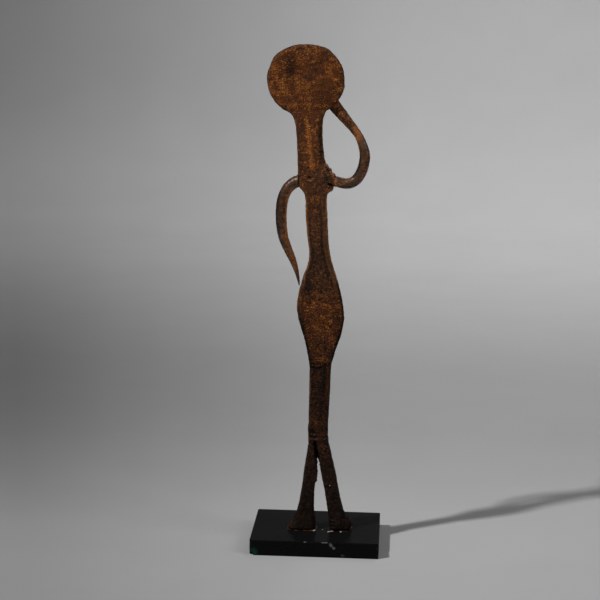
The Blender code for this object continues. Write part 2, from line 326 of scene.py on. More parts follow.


# %% [markdown]
# ## Rusted iron
#
# Old forged iron is dark brown, nearly black in its pits, with an orange bloom of rust on what
# stands out, and bare, greyer and smoother where hands have held it, as on the arms. The colour is
# laid in this order: a brown ground, an orange bloom, bright flecks, the rubbed arms and edges,
# then the black of dark iron and pits. Some of it is painted light: the bright lines on edges and
# arms are partly painted highlight, and the black in hollows, creases and on sides turned from the
# light is painted shade. Where a patch has its own place on the figure, the mesh carries it as a
# named value on its points, which the material reads with an Attribute node.

# %% Rusted iron
IRON_BROWN = (0.110, 0.034, 0.0095, 1.0)
IRON_PLUM = (0.080, 0.027, 0.0125, 1.0)
IRON_OLIVE = (0.108, 0.046, 0.017, 1.0)
IRON_ORANGE = (0.44, 0.132, 0.022, 1.0)
IRON_EMBER = (0.62, 0.235, 0.060, 1.0)
IRON_BLACK = (0.0060, 0.0036, 0.0026, 1.0)
IRON_GREY = (0.052, 0.027, 0.0140, 1.0)
# worn edges, and painted highlight along edges and arms
IRON_EDGE = (0.260, 0.105, 0.034, 1.0)
LEVEL_STREAKS = (1.0, 1.0, 1.5)  # squeezes the grain upright, as hammering left short level streaks
RUST_GLOSS = 0.07  # rust throws back hardly any light
RUBBED_GLOSS = 0.38  # the roughness of the soft sheen where it is rubbed


def iron_material():
    made, tree, shader, place = new_material("rusted_iron")
    broad = group(tree, MOTTLE, Vector=place, Coarse_Size=9.0 * MM, Fine_Size=3.2 * MM, Contrast=1.1)
    beaten = add(tree, "ShaderNodeVectorMath", {"operation": "MULTIPLY"}, Vector=place)
    beaten.inputs[1].default_value = LEVEL_STREAKS
    close = group(tree, MOTTLE, Vector=out(beaten), Coarse_Size=1.9 * MM, Fine_Size=0.7 * MM, Contrast=1.2)
    embers = group(tree, SPECKS, Vector=place, Spacing=1.3 * MM, Amount=0.60)
    arm = attribute(tree, "arm")
    rust_and_highlight = attribute(tree, "rust_and_highlight")
    dark_and_shade = attribute(tree, "dark_and_shade")
    wear = attribute(tree, "wear")
    worn_edge_and_highlight = attribute(tree, "worn_edge_and_highlight")
    pit = attribute(tree, "pit")

    # the brown ground, from plum to olive
    colour = blend_colour(tree, stretch(tree, broad["Coarse"], 0.25, 0.75), IRON_PLUM, IRON_BROWN)
    olive = stretch(tree, broad["Fine"], 0.45, 0.9, 0.0, 0.8)
    colour = blend_colour(tree, olive, colour, IRON_OLIVE)
    # the orange bloom and its bright flecks, which in places on the arms and the strap are painted
    # highlight
    flecks = sum_up(tree, "MULTIPLY", close["Coarse"], 0.4)
    flecks = sum_up(tree, "MULTIPLY_ADD", close["Fine"], 0.6, flecks)
    flecks = sum_up(tree, "ADD", flecks, stretch(tree, broad["Fine"], 0.15, 0.85, -0.20, 0.18))
    flecks = sum_up(tree, "MULTIPLY_ADD", rust_and_highlight, 0.45, flecks)
    flecks = sum_up(tree, "MULTIPLY_ADD", dark_and_shade, -0.25, flecks)
    colour = blend_colour(tree, stretch(tree, flecks, 0.36, 1.16, 0.0, 0.95), colour, IRON_ORANGE)
    bright = sum_up(tree, "MULTIPLY", embers["Mask"], stretch(tree, flecks, 0.45, 0.85, 0.0, 0.9))
    colour = blend_colour(tree, bright, colour, IRON_EMBER)
    # where it is rubbed, on the arms, and along the edges, which are worn and in places brightened as
    # painted highlight
    rubbed = sum_up(tree, "MULTIPLY", arm, stretch(tree, broad["Fine"], 0.85, 0.25, 0.30, 0.95))
    rubbed = sum_up(tree, "MULTIPLY", rubbed, sum_up(tree, "MULTIPLY_ADD", rust_and_highlight, -0.65, 1.0, clamp=True))
    colour = blend_colour(tree, rubbed, colour, IRON_GREY)
    edge = sum_up(tree, "MULTIPLY_ADD", worn_edge_and_highlight, 0.8, sum_up(tree, "MULTIPLY", wear, 0.5), clamp=True)
    edge = sum_up(tree, "MULTIPLY", edge, stretch(tree, broad["Fine"], 0.2, 0.8, 0.35, 0.9))
    colour = blend_colour(tree, edge, colour, IRON_EDGE)
    # the black of dark iron and pits, and painted shade in hollows, creases and on sides turned from the
    # light
    speckle = stretch(tree, close["Fine"], 0.15, 0.85, 0.36, -0.12)
    uneven = stretch(tree, broad["Fine"], 0.2, 0.8, -0.12, 0.12)
    dark = sum_up(tree, "ADD", sum_up(tree, "ADD", dark_and_shade, uneven), speckle)
    dark = sum_up(tree, "MULTIPLY", dark, sum_up(tree, "MULTIPLY_ADD", worn_edge_and_highlight, -0.75, 1.0, clamp=True))
    dark = sum_up(tree, "MULTIPLY_ADD", pit, 0.35, dark, clamp=True)
    colour = blend_colour(tree, dark, colour, IRON_BLACK)
    tree.links.new(colour, shader.inputs["Base Color"])

    rough = stretch(tree, close["Coarse"], 0.1, 0.9, 0.85, 0.62)
    rough = sum_up(tree, "MULTIPLY_ADD", arm, -0.22, rough)
    rough = sum_up(tree, "MULTIPLY_ADD", wear, -0.10, rough, clamp=True)
    tree.links.new(rough, shader.inputs["Roughness"])
    shader.inputs["Specular IOR Level"].default_value = RUST_GLOSS
    sheen = stretch(tree, close["Coarse"], 0.25, 0.75, 0.20, 0.85)
    tree.links.new(sum_up(tree, "MULTIPLY", arm, sheen), shader.inputs["Coat Weight"])
    shader.inputs["Coat Roughness"].default_value = RUBBED_GLOSS
    calm = sum_up(tree, "MULTIPLY_ADD", arm, -0.45, 1.0)
    bump(tree, shader, sum_up(tree, "MULTIPLY", close["Height"], calm), 0.26 * MM)
    return made


IRON = iron_material()
print("rusted iron", len(IRON.node_tree.nodes), "nodes")

# %% [markdown]
# ## The arms
#
# Each arm is a round rod, drawn thinner towards its end and bent while hot. That is a profile swept
# along a curve, so Geometry Nodes make it: a line of stations becomes a smooth curve, each station
# carries its own girth and flatness, and the swept tube is pressed flat where the smith flattened
# the hand. The stations repeat the solid's own, in millimetres above the soles, with a trace more
# girth on the hanging arm and the end of the hand a trace nearer the head, because the smoothing of
# the next step takes that much away.

# %% Stations of the arms
ROD_DIAMETER = 5.1 * MM
# place from left to right, height, place behind the middle plane, girth as a share of the rod's
# diameter, depth as a share of that girth
LEFT_ARM = (
    (-5.0, 168.2, 0.0, 0.95, 0.9),
    (-10.4, 168.0, 0.0, 1.05, 0.9),
    (-12.6, 167.15, -0.1, 1.09, 0.95),
    (-15.15, 165.05, -0.2, 1.06, 1.0),
    (-17.15, 161.75, -0.3, 1.04, 1.0),
    (-18.2, 157.8, -0.4, 1.05, 1.0),
    (-18.6, 153.0, -0.4, 1.05, 0.95),
    (-18.45, 147.5, -0.4, 1.02, 0.95),
    (-17.4, 141.2, -0.3, 0.93, 0.9),
    (-15.3, 135.7, -0.2, 0.81, 0.95),
    (-12.9, 130.4, -0.1, 0.66, 1.0),
    (-10.9, 124.3, 0.0, 0.40, 1.1),
    (-10.05, 119.9, 0.1, 0.14, 1.4),
)
RIGHT_ARM = (
    (0.5, 168.6, 0.0, 1.0, 0.95),
    (6.2, 168.2, -0.2, 1.0, 0.95),
    (11.6, 167.15, -0.4, 0.97, 1.0),
    (15.6, 168.5, -0.5, 0.99, 1.0),
    (18.4, 172.2, -0.5, 1.02, 0.95),
    (19.85, 176.9, -0.4, 1.0, 0.95),
    (20.0, 182.0, -0.2, 0.94, 0.9),
    (17.55, 188.8, 0.4, 0.78, 0.9),
    (14.45, 193.0, 1.0, 0.8, 0.8),
    (10.7, 197.3, 1.8, 0.98, 0.65),
    (7.6, 200.8, 2.7, 1.12, 0.52),
    (5.0, 203.8, 2.56, 1.24, 0.42),
    (2.6, 206.4, 2.46, 1.26, 0.36),
    (0.5, 208.8, 2.3, 1.16, 0.34),
    (-0.7, 210.1, 2.1, 0.8, 0.4),
)


def rod_line(stations):
    """Where the stations are, in metres."""
    return [(FIGURE_AXIS + x * MM, FIGURE_PLANE + y * MM, SOLE + z * MM) for x, z, y, _, _ in stations]


def stations_mesh(name, stations):
    """A line of points that carry their girth and flatness."""
    mesh = bpy.data.meshes.new(name)
    points = rod_line(stations)
    mesh.from_pydata(points, [(i, i + 1) for i in range(len(points) - 1)], [])
    for title, column in (("girth", 3), ("flatness", 4)):
        values = mesh.attributes.new(title, "FLOAT", "POINT")
        values.data.foreach_set("value", [row[column] for row in stations])
    return mesh


# %% The tree that sweeps a rod
def rod_tree():
    inputs = {
        "Rod Diameter": ("NodeSocketFloat", 5.0 * MM),
        "Sides": ("NodeSocketInt", 24),
        "Steps": ("NodeSocketInt", 8),
    }
    tree, given, result = geometry_tree("forged_rod", inputs)
    line = add(tree, "GeometryNodeMeshToCurve", Mesh=given["Geometry"])
    smooth = add(tree, "GeometryNodeCurveSplineType", {"spline_type": "CATMULL_ROM"}, Curve=out(line))
    fine = add(tree, "GeometryNodeSetSplineResolution", Geometry=out(smooth), Resolution=given["Steps"])
    girth = stored(tree, "girth")
    flatness = stored(tree, "flatness")
    half = sum_up(tree, "MULTIPLY", sum_up(tree, "MULTIPLY", girth, given["Rod Diameter"]), 0.5)
    keep = add(tree, "GeometryNodeCaptureAttribute", Geometry=out(fine))
    keep.capture_items.new("VECTOR", "Spine")
    tree.links.new(position(tree), keep.inputs["Spine"])
    ring = add(tree, "GeometryNodeCurvePrimitiveCircle", Resolution=given["Sides"], Radius=1.0)
    tube = add(
        tree,
        "GeometryNodeCurveToMesh",
        Curve=keep.outputs["Geometry"],
        Profile_Curve=out(ring, "Curve"),
        Scale=half,
        Fill_Caps=True,
    )
    here = add(tree, "ShaderNodeSeparateXYZ", Vector=position(tree))
    middle = add(tree, "ShaderNodeSeparateXYZ", Vector=keep.outputs["Spine"])
    depth = sum_up(tree, "SUBTRACT", out(here, "Y"), out(middle, "Y"))
    press = sum_up(tree, "MULTIPLY", depth, sum_up(tree, "SUBTRACT", flatness, 1.0))
    shift = add(tree, "ShaderNodeCombineXYZ", Y=press)
    flat = add(tree, "GeometryNodeSetPosition", Geometry=out(tube), Offset=out(shift))
    finish_tree(tree, out(flat), given["Material"], result)
    return tree


ROD = rod_tree()
left_arm = grow("left_arm", stations_mesh("left_line", LEFT_ARM), ROD, IRON, Rod_Diameter=ROD_DIAMETER)
right_arm = grow("right_arm", stations_mesh("right_line", RIGHT_ARM), ROD, IRON, Rod_Diameter=ROD_DIAMETER)

# %% [markdown]
# ## One skin of iron
#
# The arms were welded on at white heat, so there is no seam to model: the metal runs together. A
# voxel remesh does the same to a mesh. The solid's own faces and the two round rods are joined and
# skinned over as one, and a little smoothing takes off the facets, as the last light hammering did.

# %% Join the rods to the solid and skin them as one
SKIN_STEP = 0.365 * MM  # fine enough for the edges, and under 100,000 square faces
SKIN_SMOOTHING = 7


def one_skin(name, sources):
    raw = bmesh.new()
    for mesh in sources:
        raw.from_mesh(mesh)
    bmesh.ops.remove_doubles(raw, verts=raw.verts, dist=0.001 * MM)
    mesh = bpy.data.meshes.new(name)
    raw.to_mesh(mesh)
    raw.free()
    made = put_in_scene(name, mesh)
    remesh = made.modifiers.new("skin", "REMESH")
    remesh.mode = "VOXEL"
    remesh.voxel_size = SKIN_STEP
    smooth = made.modifiers.new("ease", "SMOOTH")
    smooth.factor = 0.5
    smooth.iterations = SKIN_SMOOTHING
    seen = made.evaluated_get(bpy.context.evaluated_depsgraph_get())
    skinned = bpy.data.meshes.new_from_object(seen)
    bpy.data.objects.remove(made)
    return skinned


skin = one_skin("skin", [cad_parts["iron_figure"].data, left_arm.data, right_arm.data])
for rod_object in (left_arm, right_arm):
    bpy.data.objects.remove(rod_object)
print("skin", len(skin.polygons), "faces")


# %% Arrays of a mesh, and values stored on its points
def points_of(mesh):
    flat = np.empty(len(mesh.vertices) * 3)
    mesh.vertices.foreach_get("co", flat)
    return flat.reshape(-1, 3)


def normals_of(mesh):
    flat = np.empty(len(mesh.vertices) * 3)
    mesh.vertex_normals.foreach_get("vector", flat)
    return flat.reshape(-1, 3)


def set_points(mesh, points):
    mesh.vertices.foreach_set("co", points.astype(np.float32).ravel())
    mesh.update()


def store(mesh, name, values):
    kept = mesh.attributes.get(name) or mesh.attributes.new(name, "FLOAT", "POINT")
    kept.data.foreach_set("value", values.astype(np.float32))


def ease(value, low, high):
    """0 below low, 1 above high, smooth between."""
    share = np.clip((value - low) / (high - low), 0.0, 1.0)
    return share * share * (3.0 - 2.0 * share)


def to_line(points, ends):
    """Distance of each point from a line of corners."""
    best = np.full(len(points), np.inf)
    for start, end in zip(ends, ends[1:]):
        start, end = np.asarray(start, float), np.asarray(end, float)
        along = end - start
        share = np.clip((points - start) @ along / max(along @ along, 1e-18), 0.0, 1.0)
        best = np.minimum(best, np.linalg.norm(points - start - share[:, None] * along, axis=1))
    return best


# %% [markdown]
# ## Tool marks
#
# The chisel, the punch and the weld have left marks that show from a step away: a round dimple and
# a pit on the chest, the edge of the strap that folds round the right shoulder with a dark hole
# under it, a notch where the left arm meets the trunk, the lap of the weld above the crotch. Each
# is a short line on the front, pressed in or raised with a soft edge. Real relief catches the light
# from any side, which a painted mark would not.
#
# Three edges have a shape of their own, so their points are shifted by a short formula: the torn
# inner edge of the left leg, the lumpy rim of the strap, and the hanging arm's thin point. The
# point is drawn out only now, because the remesh would have joined it to the hip beside it.

# %% Press and raise the marks
# name: corners (left to right, height above the floor), soft reach, depth pressed in, all in mm
MARKS = {
    "chest_pit": (((-5.1, 177.7), (-4.7, 177.1)), 0.65, 0.9),
    "chest_ledge": (((-5.4, 176.3), (-3.9, 176.2)), 0.6, -0.45),
    "chest_dimple": (((-2.7, 179.5), (-2.6, 179.5)), 0.55, 0.7),
    "neck_hollow": (((-0.4, 203.4), (0.0, 196.4), (0.6, 186.4)), 0.9, 0.35),
    "neck_ridge": (((-5.8, 195.4), (-4.7, 187.4), (-3.8, 181.4)), 1.3, -0.35),
    "strap_rim": (((3.0, 183.6), (4.6, 182.0), (5.9, 180.0), (6.6, 177.6)), 0.5, -0.9),
    "strap_valley": (((2.6, 182.4), (3.9, 180.6), (4.9, 178.4), (5.2, 176.6)), 0.6, 0.5),
    "rod_rim": (((7.4, 178.8), (7.5, 173.6)), 0.5, -0.5),
    "strap_hole": (((4.0, 174.8), (5.1, 174.3)), 0.5, 1.5),
    "left_notch": (((-9.8, 177.8), (-9.75, 173.8)), 0.5, 0.8),
    "left_collar": (((-10.7, 177.6), (-10.7, 174.6)), 0.5, -0.35),
    "pelvis_lip": (((-3.1, 88.0), (-0.1, 87.6), (1.9, 88.4)), 0.45, -0.35),
    "lip_shade": (((-3.1, 87.1), (-0.1, 86.7), (1.9, 87.4)), 0.45, 0.45),
    "weld_lap": (((-2.7, 53.4), (-0.9, 53.0)), 0.6, 0.7),
    "weld_ledge": (((-3.9, 52.3), (-1.9, 52.1), (1.0, 52.1), (4.9, 52.4)), 0.45, -0.4),
    "weld_pit": (((4.6, 57.3), (4.6, 56.6)), 0.6, 0.9),
    "weld_smudge": (((-2.9, 56.3), (-1.5, 55.2)), 0.8, 0.6),
    "crotch_slot": (((-1.0, 50.6), (-0.5, 47.9), (-0.2, 45.4)), 0.55, 1.6),
    "crotch_wedge": (((-0.2, 46.4), (0.1, 44.6), (0.2, 43.2)), 0.6, 2.2),
    "foot_wrinkle_low": (((5.3, 10.0), (8.9, 9.6)), 0.45, 0.55),
    "foot_wrinkle_middle": (((5.3, 11.8), (8.8, 11.4)), 0.45, 0.5),
    "foot_wrinkle_high": (((5.4, 13.7), (8.4, 13.3)), 0.45, 0.4),
    "foot_lobe": (((11.1, 15.4), (11.4, 9.4)), 1.2, -0.5),
    "foot_valley": (((13.7, 14.9), (14.4, 9.9)), 0.9, 0.5),
}


def press_marks(mesh):
    points = points_of(mesh)
    normals = normals_of(mesh)
    facing = ease(-normals[:, 1], 0.1, 0.6)
    flat = points[:, [0, 2]]
    for corners, reach, depth in MARKS.values():
        away = to_line(flat, np.asarray(corners) * MM)
        share = np.exp(-((away / (reach * MM)) ** 2)) * facing
        points[:, 1] += share * depth * MM
    set_points(mesh, points)


press_marks(skin)
print("marks", len(MARKS))


# %% Tear, lump and draw out the edges
def between(values, start, end):
    """1 between a soft start and a soft end, each given as (from, to)."""
    return ease(values, *start) * (1.0 - ease(values, *end))


# the torn edge, across from the figure's axis and above its soles, in millimetres
TORN_ACROSS = ((-2.2, -1.4), (0.8, 1.4))
TORN_UP = ((22.3, 23.3), (35.2, 36.7))
TORN_SHIFT = 0.22 * MM
TOOTH_DEPTH = 0.24 * MM


def tear_edge(mesh):
    """The left leg's inner edge was torn, not cut, from the crotch down to a small step."""
    points = points_of(mesh)
    height = (points[:, 2] - SOLE) / MM
    across = (points[:, 0] - FIGURE_AXIS) / MM
    torn = between(across, *TORN_ACROSS) * between(height, *TORN_UP)
    teeth = np.sin(height * 1.9 + 2.0) * np.sin(height * 0.83) + 0.5 * np.sin(height * 4.3)
    points[:, 0] += torn * (TORN_SHIFT + TOOTH_DEPTH * teeth)
    set_points(mesh, points)


# the strap's rim, across and above the floor, in millimetres
STRAP_ACROSS = ((2.8, 4.4), (8.4, 9.4))
STRAP_UP = ((176.2, 177.4), (183.4, 184.6))
STRAP_SHIFT = 0.05 * MM
LUMP_HEIGHT = 0.34 * MM


def lump_strap(mesh):
    """The strap that holds the raised arm has a lumpy outer rim."""
    points = points_of(mesh)
    height = points[:, 2] / MM
    rim = between(points[:, 0] / MM, *STRAP_ACROSS) * between(height, *STRAP_UP)
    points[:, 0] += rim * (STRAP_SHIFT + LUMP_HEIGHT * np.sin(2.6 * height + 1.2))
    set_points(mesh, points)


TIP_LINE = np.array(((-10.4, 132.0), (-9.55, 127.6), (-9.5, 127.0))) * MM
TIP_SIDES = (0.9 * MM, 1.2 * MM)  # how far from that line the metal still moves, with a soft edge
TIP_DRAWN = 1.6 * MM
TIP_ASIDE = 0.35 * MM


def draw_tip(mesh):
    """The hanging arm ends in a thin point that almost touches the hip."""
    points = points_of(mesh)
    (_, top), (_, bottom), _ = TIP_LINE
    share = 1.0 - ease(to_line(points[:, [0, 2]], TIP_LINE), *TIP_SIDES)
    share *= 1.0 - ease(points[:, 2], bottom, top)
    points[:, 0] += TIP_ASIDE * share
    points[:, 2] -= TIP_DRAWN * share
    set_points(mesh, points)


tear_edge(skin)
lump_strap(skin)
draw_tip(skin)
print("arm tip drawn out by", round(TIP_DRAWN / MM, 1), "mm")

# %% [markdown]
# ## Where each finish lies
#
# Five values are stored on the points. `arm` says how far the iron is rubbed smooth and grey: fully
# on the rods, less on the raised hand and a little on the body. One value is high where the orange
# bloom is strong, and also where a highlight is painted on the arms and the strap. One is high
# where the iron is nearly black, grows towards the feet, and is also high where shade is painted: in
# hollows and creases, on the sides of the hips and arms turned from the light, and on the head's
# rim. One is high where an edge is worn bright, and also where a highlight is painted along the
# edges and arms. `calm` lets the relief of the next step in, and is small on the arms and at the
# soles. Patches are soft ovals, strips follow the body's own edges and streaks follow a line. The
# material's mottling breaks up all of them.

# %% Patches, strips and streaks of each finish, and of painted light and shade
# centre (left to right, height above the floor), half width, half height, strength
# the orange bloom of rust; the patches on the raised arm, round the strap and on the inner side of the
# hanging arm are painted highlight
RUST_AND_HIGHLIGHT_PATCHES = (
    (-8.8, 231.1, 3.0, 3.2, 0.45),
    (-19.0, 224.4, 3.0, 6.0, 0.30),
    (-16.0, 217.4, 3.5, 3.0, 0.20),
    (-8.5, 213.4, 8.0, 3.5, 0.25),
    (3.0, 228.4, 4.0, 5.0, 0.12),
    (-4.9, 192.4, 1.6, 6.0, 0.60),
    (-3.9, 182.9, 1.3, 3.2, 0.85),
    (-3.3, 168.4, 1.6, 1.2, 0.80),
    (-2.7, 158.9, 2.0, 4.0, 0.35),
    (-1.5, 148.4, 2.5, 5.0, 0.15),
    (1.0, 129.4, 3.6, 3.2, 0.40),
    (1.1, 122.2, 7.0, 1.2, 0.35),
    (1.3, 116.9, 7.5, 1.7, 0.60),
    (-4.5, 114.0, 1.8, 1.8, 0.60),
    (1.5, 104.4, 6.0, 7.0, 0.35),
    (2.1, 91.4, 1.8, 3.0, 1.00),
    (-1.0, 92.4, 2.2, 3.0, 0.60),
    (6.5, 101.4, 1.5, 4.0, 0.35),
    (-1.1, 60.9, 2.0, 2.4, 0.55),
    (3.3, 47.2, 1.2, 2.2, 0.70),
    (-15.6, 150.0, 1.3, 12.0, 0.80),
    (-12.6, 137.4, 2.4, 7.0, 0.70),
    (16.6, 197.4, 2.4, 5.0, 1.00),
    (12.5, 205.0, 3.0, 4.0, 0.15),
    (5.1, 172.4, 1.8, 2.0, 0.90),
    (3.9, 183.9, 2.0, 2.0, 0.40),
    (5.1, 180.4, 1.2, 2.0, 0.50),
    (6.5, 176.9, 0.5, 2.0, 0.80),
    (-9.4, 172.5, 1.6, 1.5, 0.50),
    (-11.0, 9.7, 2.6, 2.0, 0.60),
)
# dark iron, and painted shade in hollows and creases (the neck hollow, the chest pit, the strap hole, the
# weld lap and pit, the crotch slot, the leg groove, under the pelvis lip) and on the sides of the hips and
# arms turned from the light
DARK_AND_SHADE_PATCHES = (
    (-6.0, 8.1, 9.0, 0.6, 0.12),
    (12.5, 8.1, 4.0, 0.7, 0.35),
    (11.6, 206.4, 1.2, 1.4, 0.55),
    (13.4, 203.4, 1.0, 1.2, 0.50),
    (-14.1, 228.4, 2.8, 6.0, 0.50),
    (1.3, 215.4, 4.5, 4.0, 0.25),
    (0.1, 196.4, 1.0, 12.0, 0.35),
    (-8.9, 190.4, 0.9, 14.0, 0.20),
    (-4.9, 177.8, 0.9, 0.7, 0.50),
    (2.3, 176.4, 1.0, 3.0, 0.30),
    (1.4, 152.4, 0.7, 9.0, 0.30),
    (-4.7, 125.0, 2.0, 4.0, 0.35),
    (9.5, 106.4, 1.2, 14.0, 0.25),
    (-7.1, 106.4, 1.0, 12.0, 0.25),
    (3.1, 82.4, 0.9, 6.0, 0.25),
    (1.7, 70.4, 0.8, 12.0, 0.15),
    (-0.3, 86.6, 3.2, 0.7, 0.25),
    (-2.2, 55.8, 1.2, 0.9, 0.35),
    (-1.8, 53.3, 1.6, 0.5, 0.35),
    (4.6, 57.0, 0.7, 0.8, 0.45),
    (-0.4, 46.4, 0.8, 3.0, 0.45),
    (0.2, 43.4, 0.9, 2.0, 0.60),
    (4.5, 174.6, 0.8, 0.5, 0.60),
    (3.1, 177.6, 0.9, 1.4, 0.40),
    (17.0, 178.4, 1.6, 6.0, 0.25),
    (-19.1, 150.4, 1.0, 14.0, 0.20),
)
# which edge, from and to height above the floor, from and to distance in from the edge, what it
# changes, and how strongly
# Bright strips are worn edges, partly painted highlight; dark strips are painted shade where the body's
# sides turn from the light.
STRIPS = (
    ("left", 127.0, 169.0, 0.0, 0.7, "worn_edge_and_highlight", 0.9),
    ("left", 127.0, 169.0, 0.0, 0.7, "rust_and_highlight", 0.4),
    ("left", 127.0, 166.0, 0.9, 2.2, "dark_and_shade", 0.18),
    ("right", 128.0, 171.0, 0.0, 0.6, "worn_edge_and_highlight", 1.2),
    ("right", 128.0, 171.0, 0.0, 0.8, "rust_and_highlight", 0.7),
    ("right", 128.0, 170.0, 0.8, 2.4, "worn_edge_and_highlight", 0.55),
    ("right", 126.0, 168.0, 2.5, 3.4, "dark_and_shade", 0.20),
    ("left", 88.0, 116.0, 0.0, 1.4, "dark_and_shade", 0.42),
    ("left", 114.0, 127.0, 0.0, 0.4, "worn_edge_and_highlight", 0.7),
    ("right", 88.0, 127.0, 0.0, 0.9, "dark_and_shade", 0.40),
    ("right", 97.0, 128.0, 1.2, 2.2, "worn_edge_and_highlight", 0.15),
    ("left", 71.0, 82.0, 0.0, 0.7, "worn_edge_and_highlight", 0.45),
    ("right", 69.0, 87.0, 0.2, 1.8, "worn_edge_and_highlight", 0.30),
    ("right", 68.0, 88.0, 2.3, 3.3, "dark_and_shade", 0.15),
    ("left", 177.0, 203.0, 0.3, 1.5, "dark_and_shade", 0.18),
    ("right", 183.0, 203.0, 0.0, 0.4, "worn_edge_and_highlight", 0.8),
    ("right", 183.0, 203.0, 0.6, 1.7, "dark_and_shade", 0.16),
)
STRIP_ENDS = 3.5  # over how many millimetres a strip fades at its ends, and at its sides
STRIP_SIDES = 0.25
# painted shade on the head's rim, where it turns from the front
HEAD_RIM_SHADE = 0.45  # how dark the head's rim is
HEAD_FROM = (203.0, 208.0)  # the height where the head starts, softly
HAND_RUST = 0.65  # how much of the body's rust is on the raised hand
HAND_FROM = (193.0, 200.0)
# corners down the two sides of the hanging arm: left to right, height above the floor
# along the outer side the streaks below paint shade, along the inner side a painted highlight
OUTER_LEFT_ARM = (
    (-18.8, 170.8),
    (-20.1, 166.0),
    (-20.4, 160.7),
    (-20.2, 155.0),
    (-19.1, 148.0),
    (-16.9, 142.0),
    (-12.0, 131.0),
)
INNER_LEFT_ARM = (
    (-13.0, 172.2),
    (-14.8, 169.0),
    (-15.6, 164.0),
    (-15.6, 156.0),
    (-14.5, 149.5),
    (-12.7, 144.3),
    (-9.2, 132.4),
)
# what it changes, corners (left to right, height above the floor), reach of the soft edge, strength
# Bright streaks on the strap rim, the rod's rim, the inner side of the hanging arm and along the raised
# arm are painted highlight; dark streaks round the strap and in its hole, in the crotch slot, in the foot
# creases and along the shaded sides of both arms are painted shade.
STREAKS = (
    ("rust_and_highlight", ((-6.3, 204.0), (-5.6, 196.0), (-5.0, 191.0), (-4.0, 186.0), (-3.4, 182.5)), 1.0, 0.65),
    ("worn_edge_and_highlight", ((3.0, 183.6), (4.6, 182.0), (5.9, 180.0), (6.6, 177.6)), 0.45, 1.2),
    ("dark_and_shade", ((2.6, 182.4), (3.9, 180.6), (4.9, 178.4), (5.2, 176.6)), 0.5, 0.35),
    ("dark_and_shade", ((4.6, 183.6), (6.5, 180.8), (7.9, 177.8)), 0.6, 0.6),
    ("worn_edge_and_highlight", ((7.4, 178.6), (7.4, 173.6)), 0.45, 1.0),
    ("rust_and_highlight", ((7.4, 178.6), (7.4, 173.6)), 0.6, 1.0),
    ("rust_and_highlight", ((3.6, 172.0), (5.2, 171.4), (6.6, 172.2)), 1.0, 1.2),
    ("worn_edge_and_highlight", ((3.6, 172.0), (5.2, 171.4), (6.6, 172.2)), 0.5, 0.5),
    ("dark_and_shade", ((4.4, 173.0), (5.6, 172.6), (6.8, 173.2)), 0.8, 0.5),
    ("dark_and_shade", ((4.2, 175.0), (5.4, 174.4)), 0.45, 1.0),
    ("dark_and_shade", ((-0.6, 50.6), (-0.3, 47.9), (0.0, 45.4), (0.2, 43.2)), 0.5, 0.6),
    ("dark_and_shade", ((5.8, 10.2), (9.2, 9.8)), 0.4, 0.5),
    ("dark_and_shade", ((5.8, 12.0), (9.0, 11.6)), 0.4, 0.5),
    ("worn_edge_and_highlight", ((-13.4, 8.6), (-12.2, 10.4), (-11.0, 13.4)), 0.6, 0.35),
    ("dark_and_shade", OUTER_LEFT_ARM, 1.0, 0.55),
    ("rust_and_highlight", INNER_LEFT_ARM, 0.8, 1.2),
    ("worn_edge_and_highlight", INNER_LEFT_ARM, 0.5, 0.6),
    ("worn_edge_and_highlight", ((-10.6, 176.6), (-13.4, 175.6), (-16.2, 172.6)), 0.8, 0.35),
    ("worn_edge_and_highlight", ((20.0, 192.0), (18.4, 195.5), (15.6, 201.4)), 0.8, 0.9),
    ("dark_and_shade", ((15.8, 178.4), (17.9, 182.0), (18.3, 188.0), (16.9, 192.6)), 0.8, 0.6),
    ("worn_edge_and_highlight", ((8.5, 176.4), (12.1, 176.0), (15.8, 177.2), (19.0, 180.4)), 0.8, 0.45),
    ("dark_and_shade", ((10.0, 172.8), (13.6, 172.6), (17.4, 174.0)), 0.7, 0.5),
    ("rust_and_highlight", ((7.4, 208.2), (10.4, 205.4), (13.4, 201.8)), 1.6, 0.2),
    ("dark_and_shade", ((8.2, 206.6), (12.0, 202.6), (15.0, 198.6)), 0.7, 0.5),
)
# height above the floor, and how far the body is rubbed smooth there, as a share of the arms
RUB_BY_HEIGHT = (
    (0.0, 0.0),
    (18.0, 0.04),
    (27.0, 0.20),
    (40.0, 0.18),
    (52.0, 0.08),
    (88.0, 0.0),
    (118.0, 0.0),
    (132.0, 0.45),
    (182.0, 0.36),
    (200.0, 0.18),
    (210.0, 0.04),
    (240.0, 0.04),
)
# height above the floor, and how dark the iron is painted there: darker towards the feet
DARKNESS_BY_HEIGHT = (
    (0.0, 0.97),
    (16.4, 0.95),
    (24.4, 0.86),
    (40.4, 0.77),
    (60.4, 0.68),
    (86.0, 0.68),
    (91.0, 0.54),
    (96.0, 0.53),
    (104.0, 0.39),
    (118.0, 0.26),
    (128.0, 0.42),
    (140.0, 0.50),
    (152.0, 0.26),
    (168.0, 0.24),
    (180.0, 0.18),
    (190.0, 0.10),
    (205.0, 0.07),
    (240.0, 0.10),
)

# %% Store the finishes on the points
SOLE_FADES = (SOLE + 0.3 * MM, SOLE + 1.5 * MM)  # the relief starts above the glue
ROOT_CLEAR = 1.2 * MM  # how far outside the trunk the rods' own finish starts
ROD_FADES = (0.52 * ROD_DIAMETER, 0.68 * ROD_DIAMETER)  # from a rod's middle line
RUNG = 0.6  # millimetres between the heights where the body's edges are measured
TALLEST = 240.0


def patches(points, rows):
    """The sum of soft ovals."""
    total = np.zeros(len(points))
    for x, z, half_width, half_height, strength in rows:
        across = (points[:, 0] / MM - x) / half_width
        up = (points[:, 2] / MM - z) / half_height
        total += strength * np.exp(-(across**2 + up**2))
    return total


